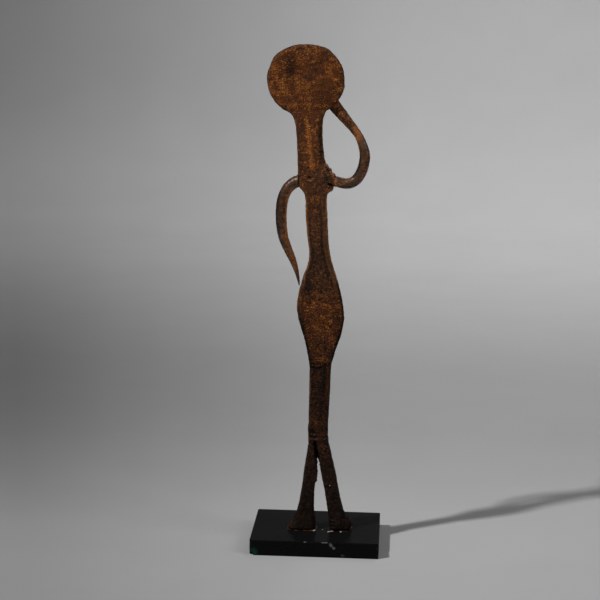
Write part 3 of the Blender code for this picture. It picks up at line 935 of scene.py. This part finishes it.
def on_rods(points):
    """1 on the arms and 0 on the trunk, from the distance to the rods' lines."""
    share = np.zeros(len(points))
    for stations in (LEFT_ARM, RIGHT_ARM):
        line = rod_line(stations[1:])
        x, y, z = line[0]
        line[0] = (x + math.copysign(ROOT_CLEAR, x), y, z)
        share = np.maximum(share, 1.0 - ease(to_line(points, line), *ROD_FADES))
    return share


def edges_by_height(points, body):
    """The body's left and right edge at each height, from the points that are not on the arms."""
    rungs = np.arange(0.0, TALLEST, RUNG) * MM
    rung = np.clip(np.round(points[:, 2] / (RUNG * MM)).astype(int), 0, len(rungs) - 1)
    left, right = np.full(len(rungs), np.nan), np.full(len(rungs), np.nan)
    for i in np.unique(rung[body]):
        across = points[body & (rung == i), 0]
        left[i], right[i] = across.min(), across.max()
    kept = ~np.isnan(left)
    return [np.interp(points[:, 2], rungs[kept], side[kept]) for side in (left, right)]


def strip(values, low, high, soft):
    """1 between low and high, with soft ends."""
    return between(values, (low - soft, low + soft), (high - soft, high + soft))


def store_finishes(mesh):
    points = points_of(mesh)
    height = points[:, 2] / MM
    arm = on_rods(points) * (1.0 - HAND_RUST * ease(height, *HAND_FROM))
    rubbed = np.maximum(arm, np.interp(height, *zip(*RUB_BY_HEIGHT)))
    near_sole = 1.0 - ease(points[:, 2], *SOLE_FADES)
    heights, darkness = zip(*DARKNESS_BY_HEIGHT)
    finish = {
        "rust_and_highlight": patches(points, RUST_AND_HIGHLIGHT_PATCHES),
        "dark_and_shade": np.interp(height, heights, darkness) * (1.0 - 0.4 * arm) + patches(points, DARK_AND_SHADE_PATCHES),
        "worn_edge_and_highlight": np.zeros(len(points)),
    }
    left, right = edges_by_height(points, arm < 0.05)
    from_edge = {"left": (points[:, 0] - left) / MM, "right": (right - points[:, 0]) / MM}
    facing = -normals_of(mesh)[:, 1]
    for side, low, high, near, far, kind, strength in STRIPS:
        share = strip(height, low, high, STRIP_ENDS) * strip(from_edge[side], near, far, STRIP_SIDES)
        finish[kind] += strength * share * ease(facing, 0.0, 0.35) * (1.0 - arm)
    front = ease(facing, -0.3, 0.3)
    for kind, corners, reach, strength in STREAKS:
        away = to_line(points[:, [0, 2]], np.asarray(corners) * MM)
        finish[kind] += strength * front * np.exp(-((away / (reach * MM)) ** 2))
    # painted shade on the head's rim, where the surface turns from the front
    rim_shade = 1.0 - ease(facing, 0.5, 0.9)
    finish["dark_and_shade"] += HEAD_RIM_SHADE * rim_shade * ease(height, *HEAD_FROM) * (1.0 - arm)
    for name, values in finish.items():
        store(mesh, name, values)
    store(mesh, "arm", rubbed)
    store(mesh, "calm", np.clip(1.0 - 0.75 * arm - near_sole, 0.0, 1.0))
    print("on the arms", int((arm > 0.5).sum()), "points of", len(points))


store_finishes(skin)

# %% [markdown]
# ## Forged skin
#
# Hammering leaves broad shallow facets, scale flakes off and leaves low plateaus with crisp edges,
# and rust eats small round pits. All of this follows a rule over the whole surface, so a Geometry
# Nodes tree moves each point along its normal by fields of noise. It also stores how deep the pits are,
# and the material darkens them.


# %% The tree that roughens the skin
def skin_tree():
    inputs = {
        "Hammer Size": ("NodeSocketFloat", 6.0 * MM),
        "Hammer Depth": ("NodeSocketFloat", 0.25 * MM),
        "Scale Size": ("NodeSocketFloat", 2.2 * MM),
        "Scale Depth": ("NodeSocketFloat", 0.12 * MM),
        "Grain Size": ("NodeSocketFloat", 0.9 * MM),
        "Grain Depth": ("NodeSocketFloat", 0.08 * MM),
        "Pit Spacing": ("NodeSocketFloat", 2.6 * MM),
        "Pit Depth": ("NodeSocketFloat", 0.18 * MM),
    }
    tree, given, result = geometry_tree("forged_skin", inputs)
    place = position(tree)
    calm = stored(tree, "calm")

    def cloud(size, detail):
        scale = sum_up(tree, "DIVIDE", 1.0, size)
        return out(add(tree, "ShaderNodeTexNoise", Vector=place, Scale=scale, Detail=detail), "Fac")

    hammer = sum_up(tree, "SUBTRACT", cloud(given["Hammer Size"], 1.0), 0.5)
    flaked = stretch(tree, cloud(given["Scale Size"], 2.0), 0.44, 0.56, -0.5, 0.5)
    grain = sum_up(tree, "SUBTRACT", cloud(given["Grain Size"], 2.0), 0.5)
    cells = add(
        tree,
        "ShaderNodeTexVoronoi",
        Vector=place,
        Scale=sum_up(tree, "DIVIDE", 1.0, given["Pit Spacing"]),
    )
    dotted = stretch(tree, out(cells, "Distance"), 0.34, 0.14)
    patch = sum_up(tree, "MULTIPLY", given["Pit Spacing"], 3.0)
    here_and_there = stretch(tree, cloud(patch, 1.0), 0.46, 0.6)
    pit = sum_up(tree, "MULTIPLY", sum_up(tree, "MULTIPLY", dotted, here_and_there), calm)
    height = sum_up(tree, "MULTIPLY", hammer, given["Hammer Depth"])
    height = sum_up(tree, "MULTIPLY_ADD", flaked, given["Scale Depth"], height)
    height = sum_up(tree, "MULTIPLY_ADD", grain, given["Grain Depth"], height)
    height = sum_up(tree, "MULTIPLY", height, calm)
    height = sum_up(tree, "SUBTRACT", height, sum_up(tree, "MULTIPLY", pit, given["Pit Depth"]))
    normal = out(tree.nodes.new("GeometryNodeInputNormal"))
    shift = add(tree, "ShaderNodeVectorMath", {"operation": "SCALE"}, Vector=normal, Scale=height)
    moved = add(tree, "GeometryNodeSetPosition", Geometry=given["Geometry"], Offset=out(shift))
    kept = add(tree, "GeometryNodeStoreNamedAttribute", Geometry=out(moved), Name="pit", Value=pit)
    finish_tree(tree, out(kept), given["Material"], result)
    return tree


figure = grow("forged_figure", skin, skin_tree(), IRON, Hammer_Depth=0.3 * MM)

# %% [markdown]
# Edges are rubbed first, so they are lighter than the hollows beside them. A point stands on an
# edge when it lies outside the average of its neighbours. That is measured on the finished mesh
# and stored as `wear`.


# %% Find the edges that are rubbed
def neighbour_average(values, pairs, count):
    total = np.zeros_like(values)
    for axis in range(3):
        total[:, axis] = np.bincount(pairs[:, 0], values[pairs[:, 1], axis], count)
        total[:, axis] += np.bincount(pairs[:, 1], values[pairs[:, 0], axis], count)
    shares = np.bincount(pairs.ravel(), minlength=count)
    return total / shares[:, None]


def store_wear(mesh, rounds=10, sharpest=0.22 * MM):
    count = len(mesh.vertices)
    pairs = np.empty(len(mesh.edges) * 2, dtype=np.int32)
    mesh.edges.foreach_get("vertices", pairs)
    pairs = pairs.reshape(-1, 2)
    points = points_of(mesh)
    eased = points
    for _ in range(rounds):
        eased = neighbour_average(eased, pairs, count)
    proud = ((points - eased) * normals_of(mesh)).sum(1)
    store(mesh, "wear", ease(proud, 0.15 * sharpest, sharpest))


store_wear(figure.data)
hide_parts("iron_figure")
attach(figure, "root")

# %% [markdown]
# ## Scabs of rust
#
# Here and there the rust stands up in small orange scabs. They are a few hundredths of a millimetre
# to a tenth high, well over a thousand of them, and no two alike: a scatter. Geometry Nodes spread
# points over the skin, more of them where the orange bloom and the painted highlight are strong,
# and set a low, flattened lump on each, turned with the surface and sunk half into it.

# %% Scatter the scabs
SCAB_ORANGE = (0.34, 0.155, 0.055, 1.0)
SCAB_BROWN = (0.11, 0.048, 0.020, 1.0)


def scab_material():
    made, tree, shader, place = new_material("rust_scab")
    close = group(tree, MOTTLE, Vector=place, Coarse_Size=1.8 * MM, Fine_Size=0.4 * MM, Contrast=1.6)
    colour = blend_colour(tree, close["Coarse"], SCAB_BROWN, SCAB_ORANGE)
    # scabs darken with the iron under them, so they take its painted shade too
    darkened = sum_up(tree, "MULTIPLY", attribute(tree, "dark_and_shade"), 1.1, clamp=True)
    colour = blend_colour(tree, darkened, colour, IRON_BLACK)
    tree.links.new(colour, shader.inputs["Base Color"])
    tree.links.new(stretch(tree, close["Fine"], 0.2, 0.8, 0.9, 0.7), shader.inputs["Roughness"])
    bump(tree, shader, close["Height"], 0.1 * MM)
    return made


def scab_tree():
    inputs = {
        "Spacing": ("NodeSocketFloat", 0.9 * MM),
        "Smallest": ("NodeSocketFloat", 0.10 * MM),
        "Largest": ("NodeSocketFloat", 0.32 * MM),
        "Flatness": ("NodeSocketFloat", 0.35),
        "Seed": ("NodeSocketInt", 7),
    }
    tree, given, result = geometry_tree("rust_scabs", inputs)
    rust_and_highlight = stored(tree, "rust_and_highlight")
    calm = stored(tree, "calm")
    share = sum_up(tree, "MULTIPLY", sum_up(tree, "MULTIPLY_ADD", rust_and_highlight, 1.6, 0.22, clamp=True), calm)
    gap = given["Spacing"]
    spread = add(
        tree,
        "GeometryNodeDistributePointsOnFaces",
        {"distribute_method": "POISSON"},
        Mesh=given["Geometry"],
        Distance_Min=gap,
        Density_Max=sum_up(tree, "DIVIDE", 1.0, sum_up(tree, "MULTIPLY", gap, gap)),
        Density_Factor=share,
        Seed=given["Seed"],
    )
    lump = add(tree, "GeometryNodeMeshIcoSphere", Radius=1.0, Subdivisions=1)
    sizes = add(
        tree,
        "FunctionNodeRandomValue",
        {"data_type": "FLOAT_VECTOR"},
        Min=(0.5, 0.5, 0.6),
        Max=(1.0, 1.0, 1.0),
        Seed=given["Seed"],
    )
    next_seed = sum_up(tree, "ADD", given["Seed"], 1)
    whole = add(tree, "FunctionNodeRandomValue", Min=0.0, Max=1.0, Seed=next_seed)
    skewed = sum_up(tree, "POWER", out(whole), 2.0)
    half = stretch(tree, skewed, 0.0, 1.0, given["Smallest"], given["Largest"], "LINEAR")
    squeeze = add(tree, "ShaderNodeCombineXYZ", X=1.0, Y=1.0, Z=given["Flatness"])
    shape = add(tree, "ShaderNodeVectorMath", {"operation": "MULTIPLY"})
    plug(tree, shape.inputs[0], out(sizes))
    plug(tree, shape.inputs[1], out(squeeze))
    size = add(tree, "ShaderNodeVectorMath", {"operation": "SCALE"}, Vector=out(shape), Scale=half)
    lumps = add(
        tree,
        "GeometryNodeInstanceOnPoints",
        Points=out(spread, "Points"),
        Instance=out(lump, "Mesh"),
        Rotation=out(spread, "Rotation"),
        Scale=out(size),
    )
    finish_tree(tree, out(lumps), given["Material"], result)
    return tree


scabs = grow("rust_scabs", figure.data.copy(), scab_tree(), scab_material())
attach(scabs, "root")

# %% [markdown]
# ## The black stone
#
# The plinth is a sawn and polished block with a narrow worn bevel. Polish on such a small block is
# seldom perfect: it is a little greasy, finely scratched and dusty, so its gloss varies. Where a
# corner was knocked, the break is pale and dull. The breaks are real hollows: a chip takes away
# whatever lies inside a ball set just outside the edge.

# %% Black stone
STONE_BLACK = (0.0035, 0.0035, 0.0037, 1.0)
STONE_GREY = (0.0085, 0.0085, 0.0088, 1.0)
STONE_BREAK = (0.30, 0.30, 0.30, 1.0)
STONE_DUST = (0.10, 0.10, 0.10, 1.0)
STONE_GREEN = (0.010, 0.055, 0.035, 1.0)
STONE_IOR = 1.041  # low, because the greasy polish mirrors only a little


def stone_material():
    made, tree, shader, place = new_material("black_stone")
    grain = group(tree, MOTTLE, Vector=place, Coarse_Size=5.0 * MM, Fine_Size=0.5 * MM, Contrast=1.3)
    dust = group(tree, SPECKS, Vector=place, Spacing=1.6 * MM, Amount=0.16)
    chip = attribute(tree, "chip")
    green = attribute(tree, "green")
    colour = blend_colour(tree, grain["Fine"], STONE_BLACK, STONE_GREY)
    colour = blend_colour(tree, sum_up(tree, "MULTIPLY", dust["Mask"], 0.35), colour, STONE_DUST)
    stain = sum_up(tree, "MULTIPLY", green, stretch(tree, grain["Fine"], 0.2, 0.7, 0.3, 0.8))
    colour = blend_colour(tree, stain, colour, STONE_GREEN)
    broken = sum_up(tree, "MULTIPLY", chip, stretch(tree, grain["Fine"], 0.2, 0.8, 0.15, 0.9))
    colour = blend_colour(tree, broken, colour, STONE_BREAK)
    tree.links.new(colour, shader.inputs["Base Color"])
    rough = stretch(tree, grain["Coarse"], 0.1, 0.9, 0.12, 0.26)
    rough = sum_up(tree, "MULTIPLY_ADD", dust["Mask"], 0.3, rough)
    rough = sum_up(tree, "MULTIPLY_ADD", chip, 0.5, rough, clamp=True)
    tree.links.new(rough, shader.inputs["Roughness"])
    shader.inputs["IOR"].default_value = STONE_IOR
    bump(tree, shader, grain["Height"], 0.012 * MM)
    return made


STONE = stone_material()
print("black stone", len(STONE.node_tree.nodes), "nodes")


# %% Plinth outline, at any distance in from its faces
# how far the front left, front right, back right and back left edges stand inside the full box,
# from left to right and from front to back, in millimetres
SKEW = ((0.0, 1.2), (0.0, 0.0), (0.1, 1.3), (0.4, 0.0))
WORN_CORNER = 2.0 * MM  # the front left one, rubbed round
CORNER = 0.8 * MM
ARRIS = 0.35 * MM
ARRIS_MIDDLE = 0.3 * ARRIS  # how far in the middle of the worn edge stands
EDGE_STEP = 0.3 * MM  # between points along the outline
CORNER_STEPS = 8


def outline(inset):
    """Counter-clockwise points of the rounded block, as many at any inset."""
    half = (plinth_high - plinth_low) / 2
    middle = (plinth_high + plinth_low) / 2
    corners = ((-1, -1, WORN_CORNER), (1, -1, CORNER), (1, 1, CORNER), (-1, 1, CORNER))
    arcs = []
    for turn, ((side_x, side_y, full), (skew_x, skew_y)) in enumerate(zip(corners, SKEW)):
        radius = max(full - inset, 0.02 * MM)
        x = middle.x + side_x * (half.x - skew_x * MM - inset - radius)
        y = middle.y + side_y * (half.y - skew_y * MM - inset - radius)
        arc = []
        for step in range(CORNER_STEPS + 1):
            angle = math.pi + (turn + step / CORNER_STEPS) * math.pi / 2
            arc.append((x + radius * math.cos(angle), y + radius * math.sin(angle)))
        arcs.append(arc)
    ring = []
    for turn, arc in enumerate(arcs):
        start, end = arc[-1], arcs[(turn + 1) % 4][0]
        spans = round(2 * (half.x if turn % 2 == 0 else half.y) / EDGE_STEP)
        ring += arc
        for step in range(1, spans):
            ring.append(tuple(a + (b - a) * step / spans for a, b in zip(start, end)))
    return ring


# %% Plinth rings, chips and stain
EDGE_INSETS = (0.35, 0.6, 0.9, 1.3, 1.8, 2.6, 4.0, 7.0, 12.0)
SIDE_HEIGHTS = 22
# left to right, how far behind (or, below 0, in front of) the front face, height above the floor and
# radius of the ball, in millimetres, and how pale the break is
FRONT_CHIPS = (
    (-4.4, -0.2, 7.7, 0.50, 1.0),
    (-3.9, -0.2, 7.75, 0.50, 0.8),
    (-1.2, -0.2, 7.8, 0.45, 0.3),
    (3.9, -0.2, 7.7, 0.50, 1.0),
    (4.7, -0.2, 7.7, 0.55, 1.0),
    (5.4, -0.2, 7.7, 0.50, 1.0),
    (6.1, -0.2, 7.75, 0.50, 0.8),
    (7.7, -0.3, 6.6, 0.50, 0.6),
    (8.1, -0.3, 6.0, 0.52, 0.8),
    (8.6, -0.35, 5.3, 0.50, 0.4),
    (9.5, -0.3, 4.7, 0.46, 0.7),
    (13.4, -0.3, 1.3, 0.46, 0.2),
    (14.1, -0.3, 0.9, 0.46, 0.15),
    (-31.6, -0.9, -0.5, 3.6, 0.0),
)
# the same, measured from the plinth's middle
SIDE_CHIPS = (
    (31.5, -23.5, 7.9, 1.6, 0.1),
    (31.5, -20.3, 7.9, 1.9, 0.1),
    (31.4, -17.3, 7.9, 1.4, 0.0),
    (31.1, -27.1, 5.4, 1.4, 0.1),
    (31.0, -27.1, 1.9, 1.2, 0.1),
    (31.2, -2.4, 7.7, 0.9, 0.0),
    (31.2, 7.6, 0.4, 1.0, 0.1),
    (-31.1, 9.6, 7.7, 0.8, 0.1),
    (14.5, 26.4, 7.7, 0.9, 0.1),
)
STAIN = ((-28.6, -25.2, 1.7), 2.8)  # a green smear at the lower front left corner


def plinth_mesh():
    """Rings from the middle of the underside, up the sides, to the middle of the top."""
    low, high = plinth_low.z, plinth_high.z
    levels = [(low, inset * MM) for inset in reversed(EDGE_INSETS)]
    levels.append((low + ARRIS_MIDDLE, ARRIS_MIDDLE))
    for step in range(SIDE_HEIGHTS + 1):
        levels.append((low + ARRIS + (high - low - 2 * ARRIS) * step / SIDE_HEIGHTS, 0.0))
    levels.append((high - ARRIS_MIDDLE, ARRIS_MIDDLE))
    levels += [(high, inset * MM) for inset in EDGE_INSETS]
    shape = bmesh.new()
    rings = [[shape.verts.new((x, y, z)) for x, y in outline(inset)] for z, inset in levels]
    count = len(rings[0])
    for lower, upper in zip(rings, rings[1:]):
        for i in range(count):
            j = (i + 1) % count
            shape.faces.new((lower[i], lower[j], upper[j], upper[i]))
    for ring in (rings[0][::-1], rings[-1]):
        middle = shape.verts.new(sum((v.co for v in ring), Vector()) / count)
        for i in range(count):
            shape.faces.new((ring[i], ring[(i + 1) % count], middle))
    bmesh.ops.recalc_face_normals(shape, faces=shape.faces)
    mesh = bpy.data.meshes.new("stone_plinth")
    shape.to_mesh(mesh)
    shape.free()
    return mesh


CHIP_WAVES = np.array((5100.0, 4300.0, 6700.0))  # radians a metre: they make each ball ragged
CHIP_RAGGED = 0.12
PALE_RIM = 0.3 * MM  # how far the pale of a break reaches past the ball


def front_face(x):
    """Where the front face stands at x, in millimetres. Its left end is the one further in."""
    return plinth_low.y / MM + SKEW[0][1] * (0.5 - x * MM / (plinth_high.x - plinth_low.x))


def knock_chips(mesh):
    points = points_of(mesh)
    broken = np.zeros(len(points))
    front = [(x, front_face(x) + y, *rest) for x, y, *rest in FRONT_CHIPS]
    for x, y, z, radius, pale in (*front, *SIDE_CHIPS):
        centre = np.array((x, y, z)) * MM
        offset = points - centre
        away = np.linalg.norm(offset, axis=1)
        ragged = radius * MM * (1.0 + CHIP_RAGGED * np.sin(points @ CHIP_WAVES))
        inside = away < ragged
        points[inside] = centre + offset[inside] / away[inside, None] * ragged[inside, None]
        broken = np.maximum(broken, pale * (1.0 - ease(away, radius * MM, radius * MM + PALE_RIM)))
    set_points(mesh, points)
    store(mesh, "chip", broken)
    centre, reach = STAIN
    away = np.linalg.norm(points - np.array(centre) * MM, axis=1)
    store(mesh, "green", 1.0 - ease(away, 0.3 * reach * MM, reach * MM))


block = plinth_mesh()
knock_chips(block)
block.shade_smooth()
block.set_sharp_from_angle(angle=math.radians(35.0))
block.materials.append(STONE)
plinth = put_in_scene("stone_plinth", block)
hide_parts("plinth")
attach(plinth, "root")
print("plinth", len(block.polygons), "faces,", len(FRONT_CHIPS + SIDE_CHIPS), "chips")

# %% [markdown]
# ## The glue
#
# The feet are stuck down with a clear glue. It filled the gap under each sole, crept out in an
# uneven line all round, and set in a few drops that catch the light. A line that follows an outline
# and drops set along it are once more a job for Geometry Nodes. The outline is found from the solid
# itself: the lowest points of each foot, wrapped as with a string.

# %% Glue
GLUE_CLEAR = (0.55, 0.50, 0.42, 1.0)


def glue_material():
    made, tree, shader, place = new_material("clear_glue")
    grain = group(tree, MOTTLE, Vector=place, Coarse_Size=2.0 * MM, Fine_Size=0.5 * MM, Contrast=1.2)
    stained = blend_colour(tree, stretch(tree, grain["Coarse"], 0.3, 0.9), IRON_BLACK, IRON_BROWN)
    colour = blend_colour(tree, attribute(tree, "bead"), stained, GLUE_CLEAR)
    tree.links.new(colour, shader.inputs["Base Color"])
    tree.links.new(stretch(tree, grain["Fine"], 0.2, 0.8, 0.08, 0.25), shader.inputs["Roughness"])
    bump(tree, shader, grain["Height"], 0.05 * MM)
    return made


def wrapped(points):
    """The convex outline of flat points, counter-clockwise."""
    ordered = sorted(set(map(tuple, points)))
    halves = []
    for run in (ordered, ordered[::-1]):
        kept = []
        for point in run:
            while len(kept) > 1:
                (ax, ay), (bx, by) = kept[-2], kept[-1]
                if (bx - ax) * (point[1] - ay) - (by - ay) * (point[0] - ax) > 0:
                    break
                kept.pop()
            kept.append(point)
        halves += kept[:-1]
    return halves


# left to right, front to back, height above the stone, half width of each drop
DROPS = (
    (6.1, -9.3, 0.05, 0.38),
    (6.8, -8.8, 0.05, 0.34),
    (7.5, -8.3, 0.05, 0.32),
    (8.2, -8.0, 0.05, 0.30),
    (12.1, -8.8, 0.05, 0.46),
    (-0.9, -8.0, 0.05, 0.42),
    (-0.4, -7.0, 0.05, 0.32),
    (3.3, -5.8, 0.05, 0.24),
    (17.1, -0.8, 0.05, 0.24),
    (6.46, -6.25, 22.2, 0.30),
)
SOLE_SLICE = 0.3 * MM  # what counts as the sole of the solid
BETWEEN_FEET = 3.0 * MM
BEAD_HEIGHT = 0.12 * MM


def sole_lines():
    """Closed lines round both soles, and the drops, with a size on each point."""
    solid = points_of(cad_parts["iron_figure"].data)
    low = solid[solid[:, 2] < SOLE + SOLE_SLICE][:, :2]
    points, edges, sizes = [], [], []
    for side in (low[low[:, 0] < BETWEEN_FEET], low[low[:, 0] > BETWEEN_FEET]):
        ring = wrapped(np.round(side, 6))
        first = len(points)
        points += [(x, y, plinth_high.z + BEAD_HEIGHT) for x, y in ring]
        edges += [(first + i, first + (i + 1) % len(ring)) for i in range(len(ring))]
        sizes += [0.0] * len(ring)
    for x, y, z, size in DROPS:
        points.append((x * MM, y * MM, plinth_high.z + z * MM))
        sizes.append(size * MM)
    mesh = bpy.data.meshes.new("sole_lines")
    mesh.from_pydata(points, edges, [])
    store(mesh, "drop", np.array(sizes))
    return mesh


def glue_tree():
    inputs = {
        "Bead": ("NodeSocketFloat", 0.22 * MM),
        "Unevenness": ("NodeSocketFloat", 0.9),
        "Lump Size": ("NodeSocketFloat", 2.2 * MM),
        "Flatness": ("NodeSocketFloat", 0.7),
    }
    tree, given, result = geometry_tree("glue_line", inputs)
    line = add(tree, "GeometryNodeMeshToCurve", Mesh=given["Geometry"])
    even = add(tree, "GeometryNodeResampleCurve", {"mode": "LENGTH"}, Curve=out(line), Length=0.3 * MM)
    place = position(tree)
    scale = sum_up(tree, "DIVIDE", 1.0, given["Lump Size"])
    cloud = out(add(tree, "ShaderNodeTexNoise", Vector=place, Scale=scale, Detail=1.0), "Fac")
    swing = sum_up(tree, "MULTIPLY", sum_up(tree, "SUBTRACT", cloud, 0.5), given["Unevenness"])
    half = sum_up(tree, "MULTIPLY", given["Bead"], sum_up(tree, "MULTIPLY_ADD", swing, 2.0, 1.0))
    ring = add(tree, "GeometryNodeCurvePrimitiveCircle", Resolution=10, Radius=1.0)
    bead = add(
        tree,
        "GeometryNodeCurveToMesh",
        Curve=out(even),
        Profile_Curve=out(ring, "Curve"),
        Scale=half,
    )
    size = stored(tree, "drop")
    ball = out(add(tree, "GeometryNodeMeshIcoSphere", Radius=1.0, Subdivisions=3), "Mesh")
    marked = add(tree, "GeometryNodeStoreNamedAttribute", Geometry=ball, Name="bead", Value=1.0)
    low = sum_up(tree, "MULTIPLY", size, given["Flatness"])
    flat = add(tree, "ShaderNodeCombineXYZ", X=size, Y=size, Z=low)
    drops = add(
        tree,
        "GeometryNodeInstanceOnPoints",
        Points=given["Geometry"],
        Selection=sum_up(tree, "GREATER_THAN", size, 0.0),
        Instance=out(marked),
        Scale=out(flat),
    )
    both = tree.nodes.new("GeometryNodeJoinGeometry")
    tree.links.new(out(bead), both.inputs[0])
    tree.links.new(out(drops), both.inputs[0])
    finish_tree(tree, out(both), given["Material"], result)
    return tree


glue = grow("glue_beads", sole_lines(), glue_tree(), glue_material())
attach(glue, "root")

# %% [markdown]
# ## The studio
#
# A sheet of pale paper is rolled down behind the figure and out under it, with a soft bend instead
# of a corner. Light on such a sheet is never even. Its fall-off is painted into the paper, along
# the sheet and in a fan to the left, because soft lights large enough to shape it so would light
# the iron as well. A small light from the left and front throws the shadow to the right, a weak
# broad one from the right fills the other side, one from behind touches the rims, and the last
# lights only the paper at the back.

# %% Paper sweep
PAPER_FRONT = -3000.0 * MM
PAPER_BEND = 950.0 * MM  # where the paper starts to rise
BEND_RADIUS = 450.0 * MM
PAPER_TOP = 1500.0 * MM
PAPER_HALF_WIDTH = 3000.0 * MM
BEND_STEPS = 24
PAPER_GREY = (0.84, 0.84, 0.845, 1.0)
# how far the light falls off on the sheet: metres back and up it, then share of the grey
TONE_ALONG = (
    (-0.15, 0.53),
    (-0.05, 0.555),
    (0.03, 0.57),
    (0.107, 0.52),
    (0.192, 0.455),
    (0.319, 0.395),
    (0.45, 0.385),
    (0.77, 0.442),
    (0.94, 0.478),
    (1.07, 0.458),
    (1.30, 0.405),
    (1.55, 0.38),
)
# the light also falls off to the left, in a fan that starts this far in front: slope, then share
FAN_START = 0.72
TONE_ASIDE = (
    (-0.20, 0.40),
    (-0.15, 0.525),
    (-0.115, 0.625),
    (-0.075, 0.725),
    (-0.045, 0.81),
    (0.0, 0.935),
    (0.06, 0.975),
    (0.19, 1.0),
)
# how much of that fall-off to the left there is: metres back and up the sheet, then share
FAN_ALONG = (
    (-0.75, 0.0),
    (-0.50, 0.10),
    (-0.15, 0.52),
    (-0.03, 0.62),
    (0.069, 0.78),
    (0.192, 0.94),
    (0.408, 1.0),
    (0.77, 0.76),
    (1.157, 0.58),
    (1.37, 0.70),
    (1.55, 0.74),
)


def paper_sweep():
    profile = [(PAPER_FRONT, 0.0), (PAPER_BEND, 0.0)]
    for step in range(1, BEND_STEPS + 1):
        angle = step / BEND_STEPS * math.pi / 2
        rise = BEND_RADIUS * (1 - math.cos(angle))
        profile.append((PAPER_BEND + BEND_RADIUS * math.sin(angle), rise))
    profile.append((PAPER_BEND + BEND_RADIUS, PAPER_TOP))
    points, faces = [], []
    for y, z in profile:
        points += [(-PAPER_HALF_WIDTH, y, z), (PAPER_HALF_WIDTH, y, z)]
    for i in range(len(profile) - 1):
        faces.append((2 * i, 2 * i + 1, 2 * i + 3, 2 * i + 2))
    mesh = bpy.data.meshes.new("paper")
    mesh.from_pydata(points, [], faces)
    mesh.shade_smooth()
    return mesh


def curve(tree, value, stops):
    """A smooth line through (value, result) stops."""
    low, high = stops[0][0], stops[-1][0]
    made = tree.nodes.new("ShaderNodeValToRGB")
    ramp = made.color_ramp
    ramp.interpolation = "CARDINAL"
    while len(ramp.elements) < len(stops):
        ramp.elements.new(0.5)
    for element, (place, result) in zip(ramp.elements, stops):
        element.position = (place - low) / (high - low)
        element.color = (result, result, result, 1.0)
    tree.links.new(stretch(tree, value, low, high, kind="LINEAR"), made.inputs["Fac"])
    return made.outputs["Color"]


def paper_material():
    made, tree, shader, place = new_material("pale_paper")
    fibre = group(tree, MOTTLE, Vector=place, Coarse_Size=60.0 * MM, Fine_Size=1.5 * MM, Contrast=0.5)
    where = add(tree, "ShaderNodeSeparateXYZ", Vector=place)
    along = sum_up(tree, "ADD", out(where, "Y"), out(where, "Z"))
    reach = sum_up(tree, "MAXIMUM", sum_up(tree, "ADD", along, FAN_START), FAN_START / 2)
    aside = sum_up(tree, "DIVIDE", out(where, "X"), reach)
    lost = sum_up(tree, "SUBTRACT", 1.0, curve(tree, aside, TONE_ASIDE))
    kept = sum_up(tree, "SUBTRACT", 1.0, sum_up(tree, "MULTIPLY", lost, curve(tree, along, FAN_ALONG)))
    tone = sum_up(tree, "MULTIPLY", curve(tree, along, TONE_ALONG), kept)
    tone = sum_up(tree, "MULTIPLY", tone, stretch(tree, fibre["Coarse"], 0.2, 0.8, 0.985, 1.015))
    shade = blend_colour(tree, tone, (0.0, 0.0, 0.0, 1.0), PAPER_GREY)
    tree.links.new(shade, shader.inputs["Base Color"])
    shader.inputs["Roughness"].default_value = 0.9
    shader.inputs["Specular IOR Level"].default_value = 0.1
    return made


paper = put_in_scene("paper", paper_sweep())
paper.data.materials.append(paper_material())
print("paper", len(paper.data.polygons), "faces")


# %% Lights
def area_light(name, aim, azimuth, elevation, distance, size, watts):
    """A square soft light. Azimuth 0 shines from the front, 90 from the right."""
    light = bpy.data.lights.new(name, "AREA")
    light.energy = watts
    light.size = size
    made = put_in_scene(name, light)
    a, e = math.radians(azimuth), math.radians(elevation)
    towards = Vector((math.sin(a) * math.cos(e), -math.cos(a) * math.cos(e), math.sin(e)))
    made.location = Vector(aim) + towards * distance
    made.rotation_euler = towards.to_track_quat("Z", "Y").to_euler()
    return made


FIGURE_MIDDLE = (0.0, 0.0, 0.12)
PAPER_MIDDLE = (0.15, 1.25, 0.1)
# what it is aimed at, azimuth and elevation in degrees, distance and width in metres, watts
LIGHTS = {
    "key": (FIGURE_MIDDLE, -55.5, 47.0, 1.5, 0.07, 18.0),
    "fill": (FIGURE_MIDDLE, 64.0, 34.0, 1.1, 0.4, 3.0),
    "back": (FIGURE_MIDDLE, 150.0, 48.0, 1.3, 0.5, 1.6),
    "backdrop": (PAPER_MIDDLE, 12.5, 50.0, 1.4, 0.6, 5.5),
}
BACKDROP_SPREAD = math.radians(100.0)  # keeps it off the figure and the front of the sheet
ROOM_COLOUR = (0.75, 0.78, 0.82, 1.0)
ROOM_STRENGTH = 0.03  # a hint of light from all round

lamps = {name: area_light(name, *values) for name, values in LIGHTS.items()}
lamps["backdrop"].data.spread = BACKDROP_SPREAD

world = bpy.data.worlds.new("studio")
bpy.context.scene.world = world
world.use_nodes = True
room = world.node_tree.nodes["Background"]
room.inputs["Color"].default_value = ROOM_COLOUR
room.inputs["Strength"].default_value = ROOM_STRENGTH
print("lights", ", ".join(lamps))
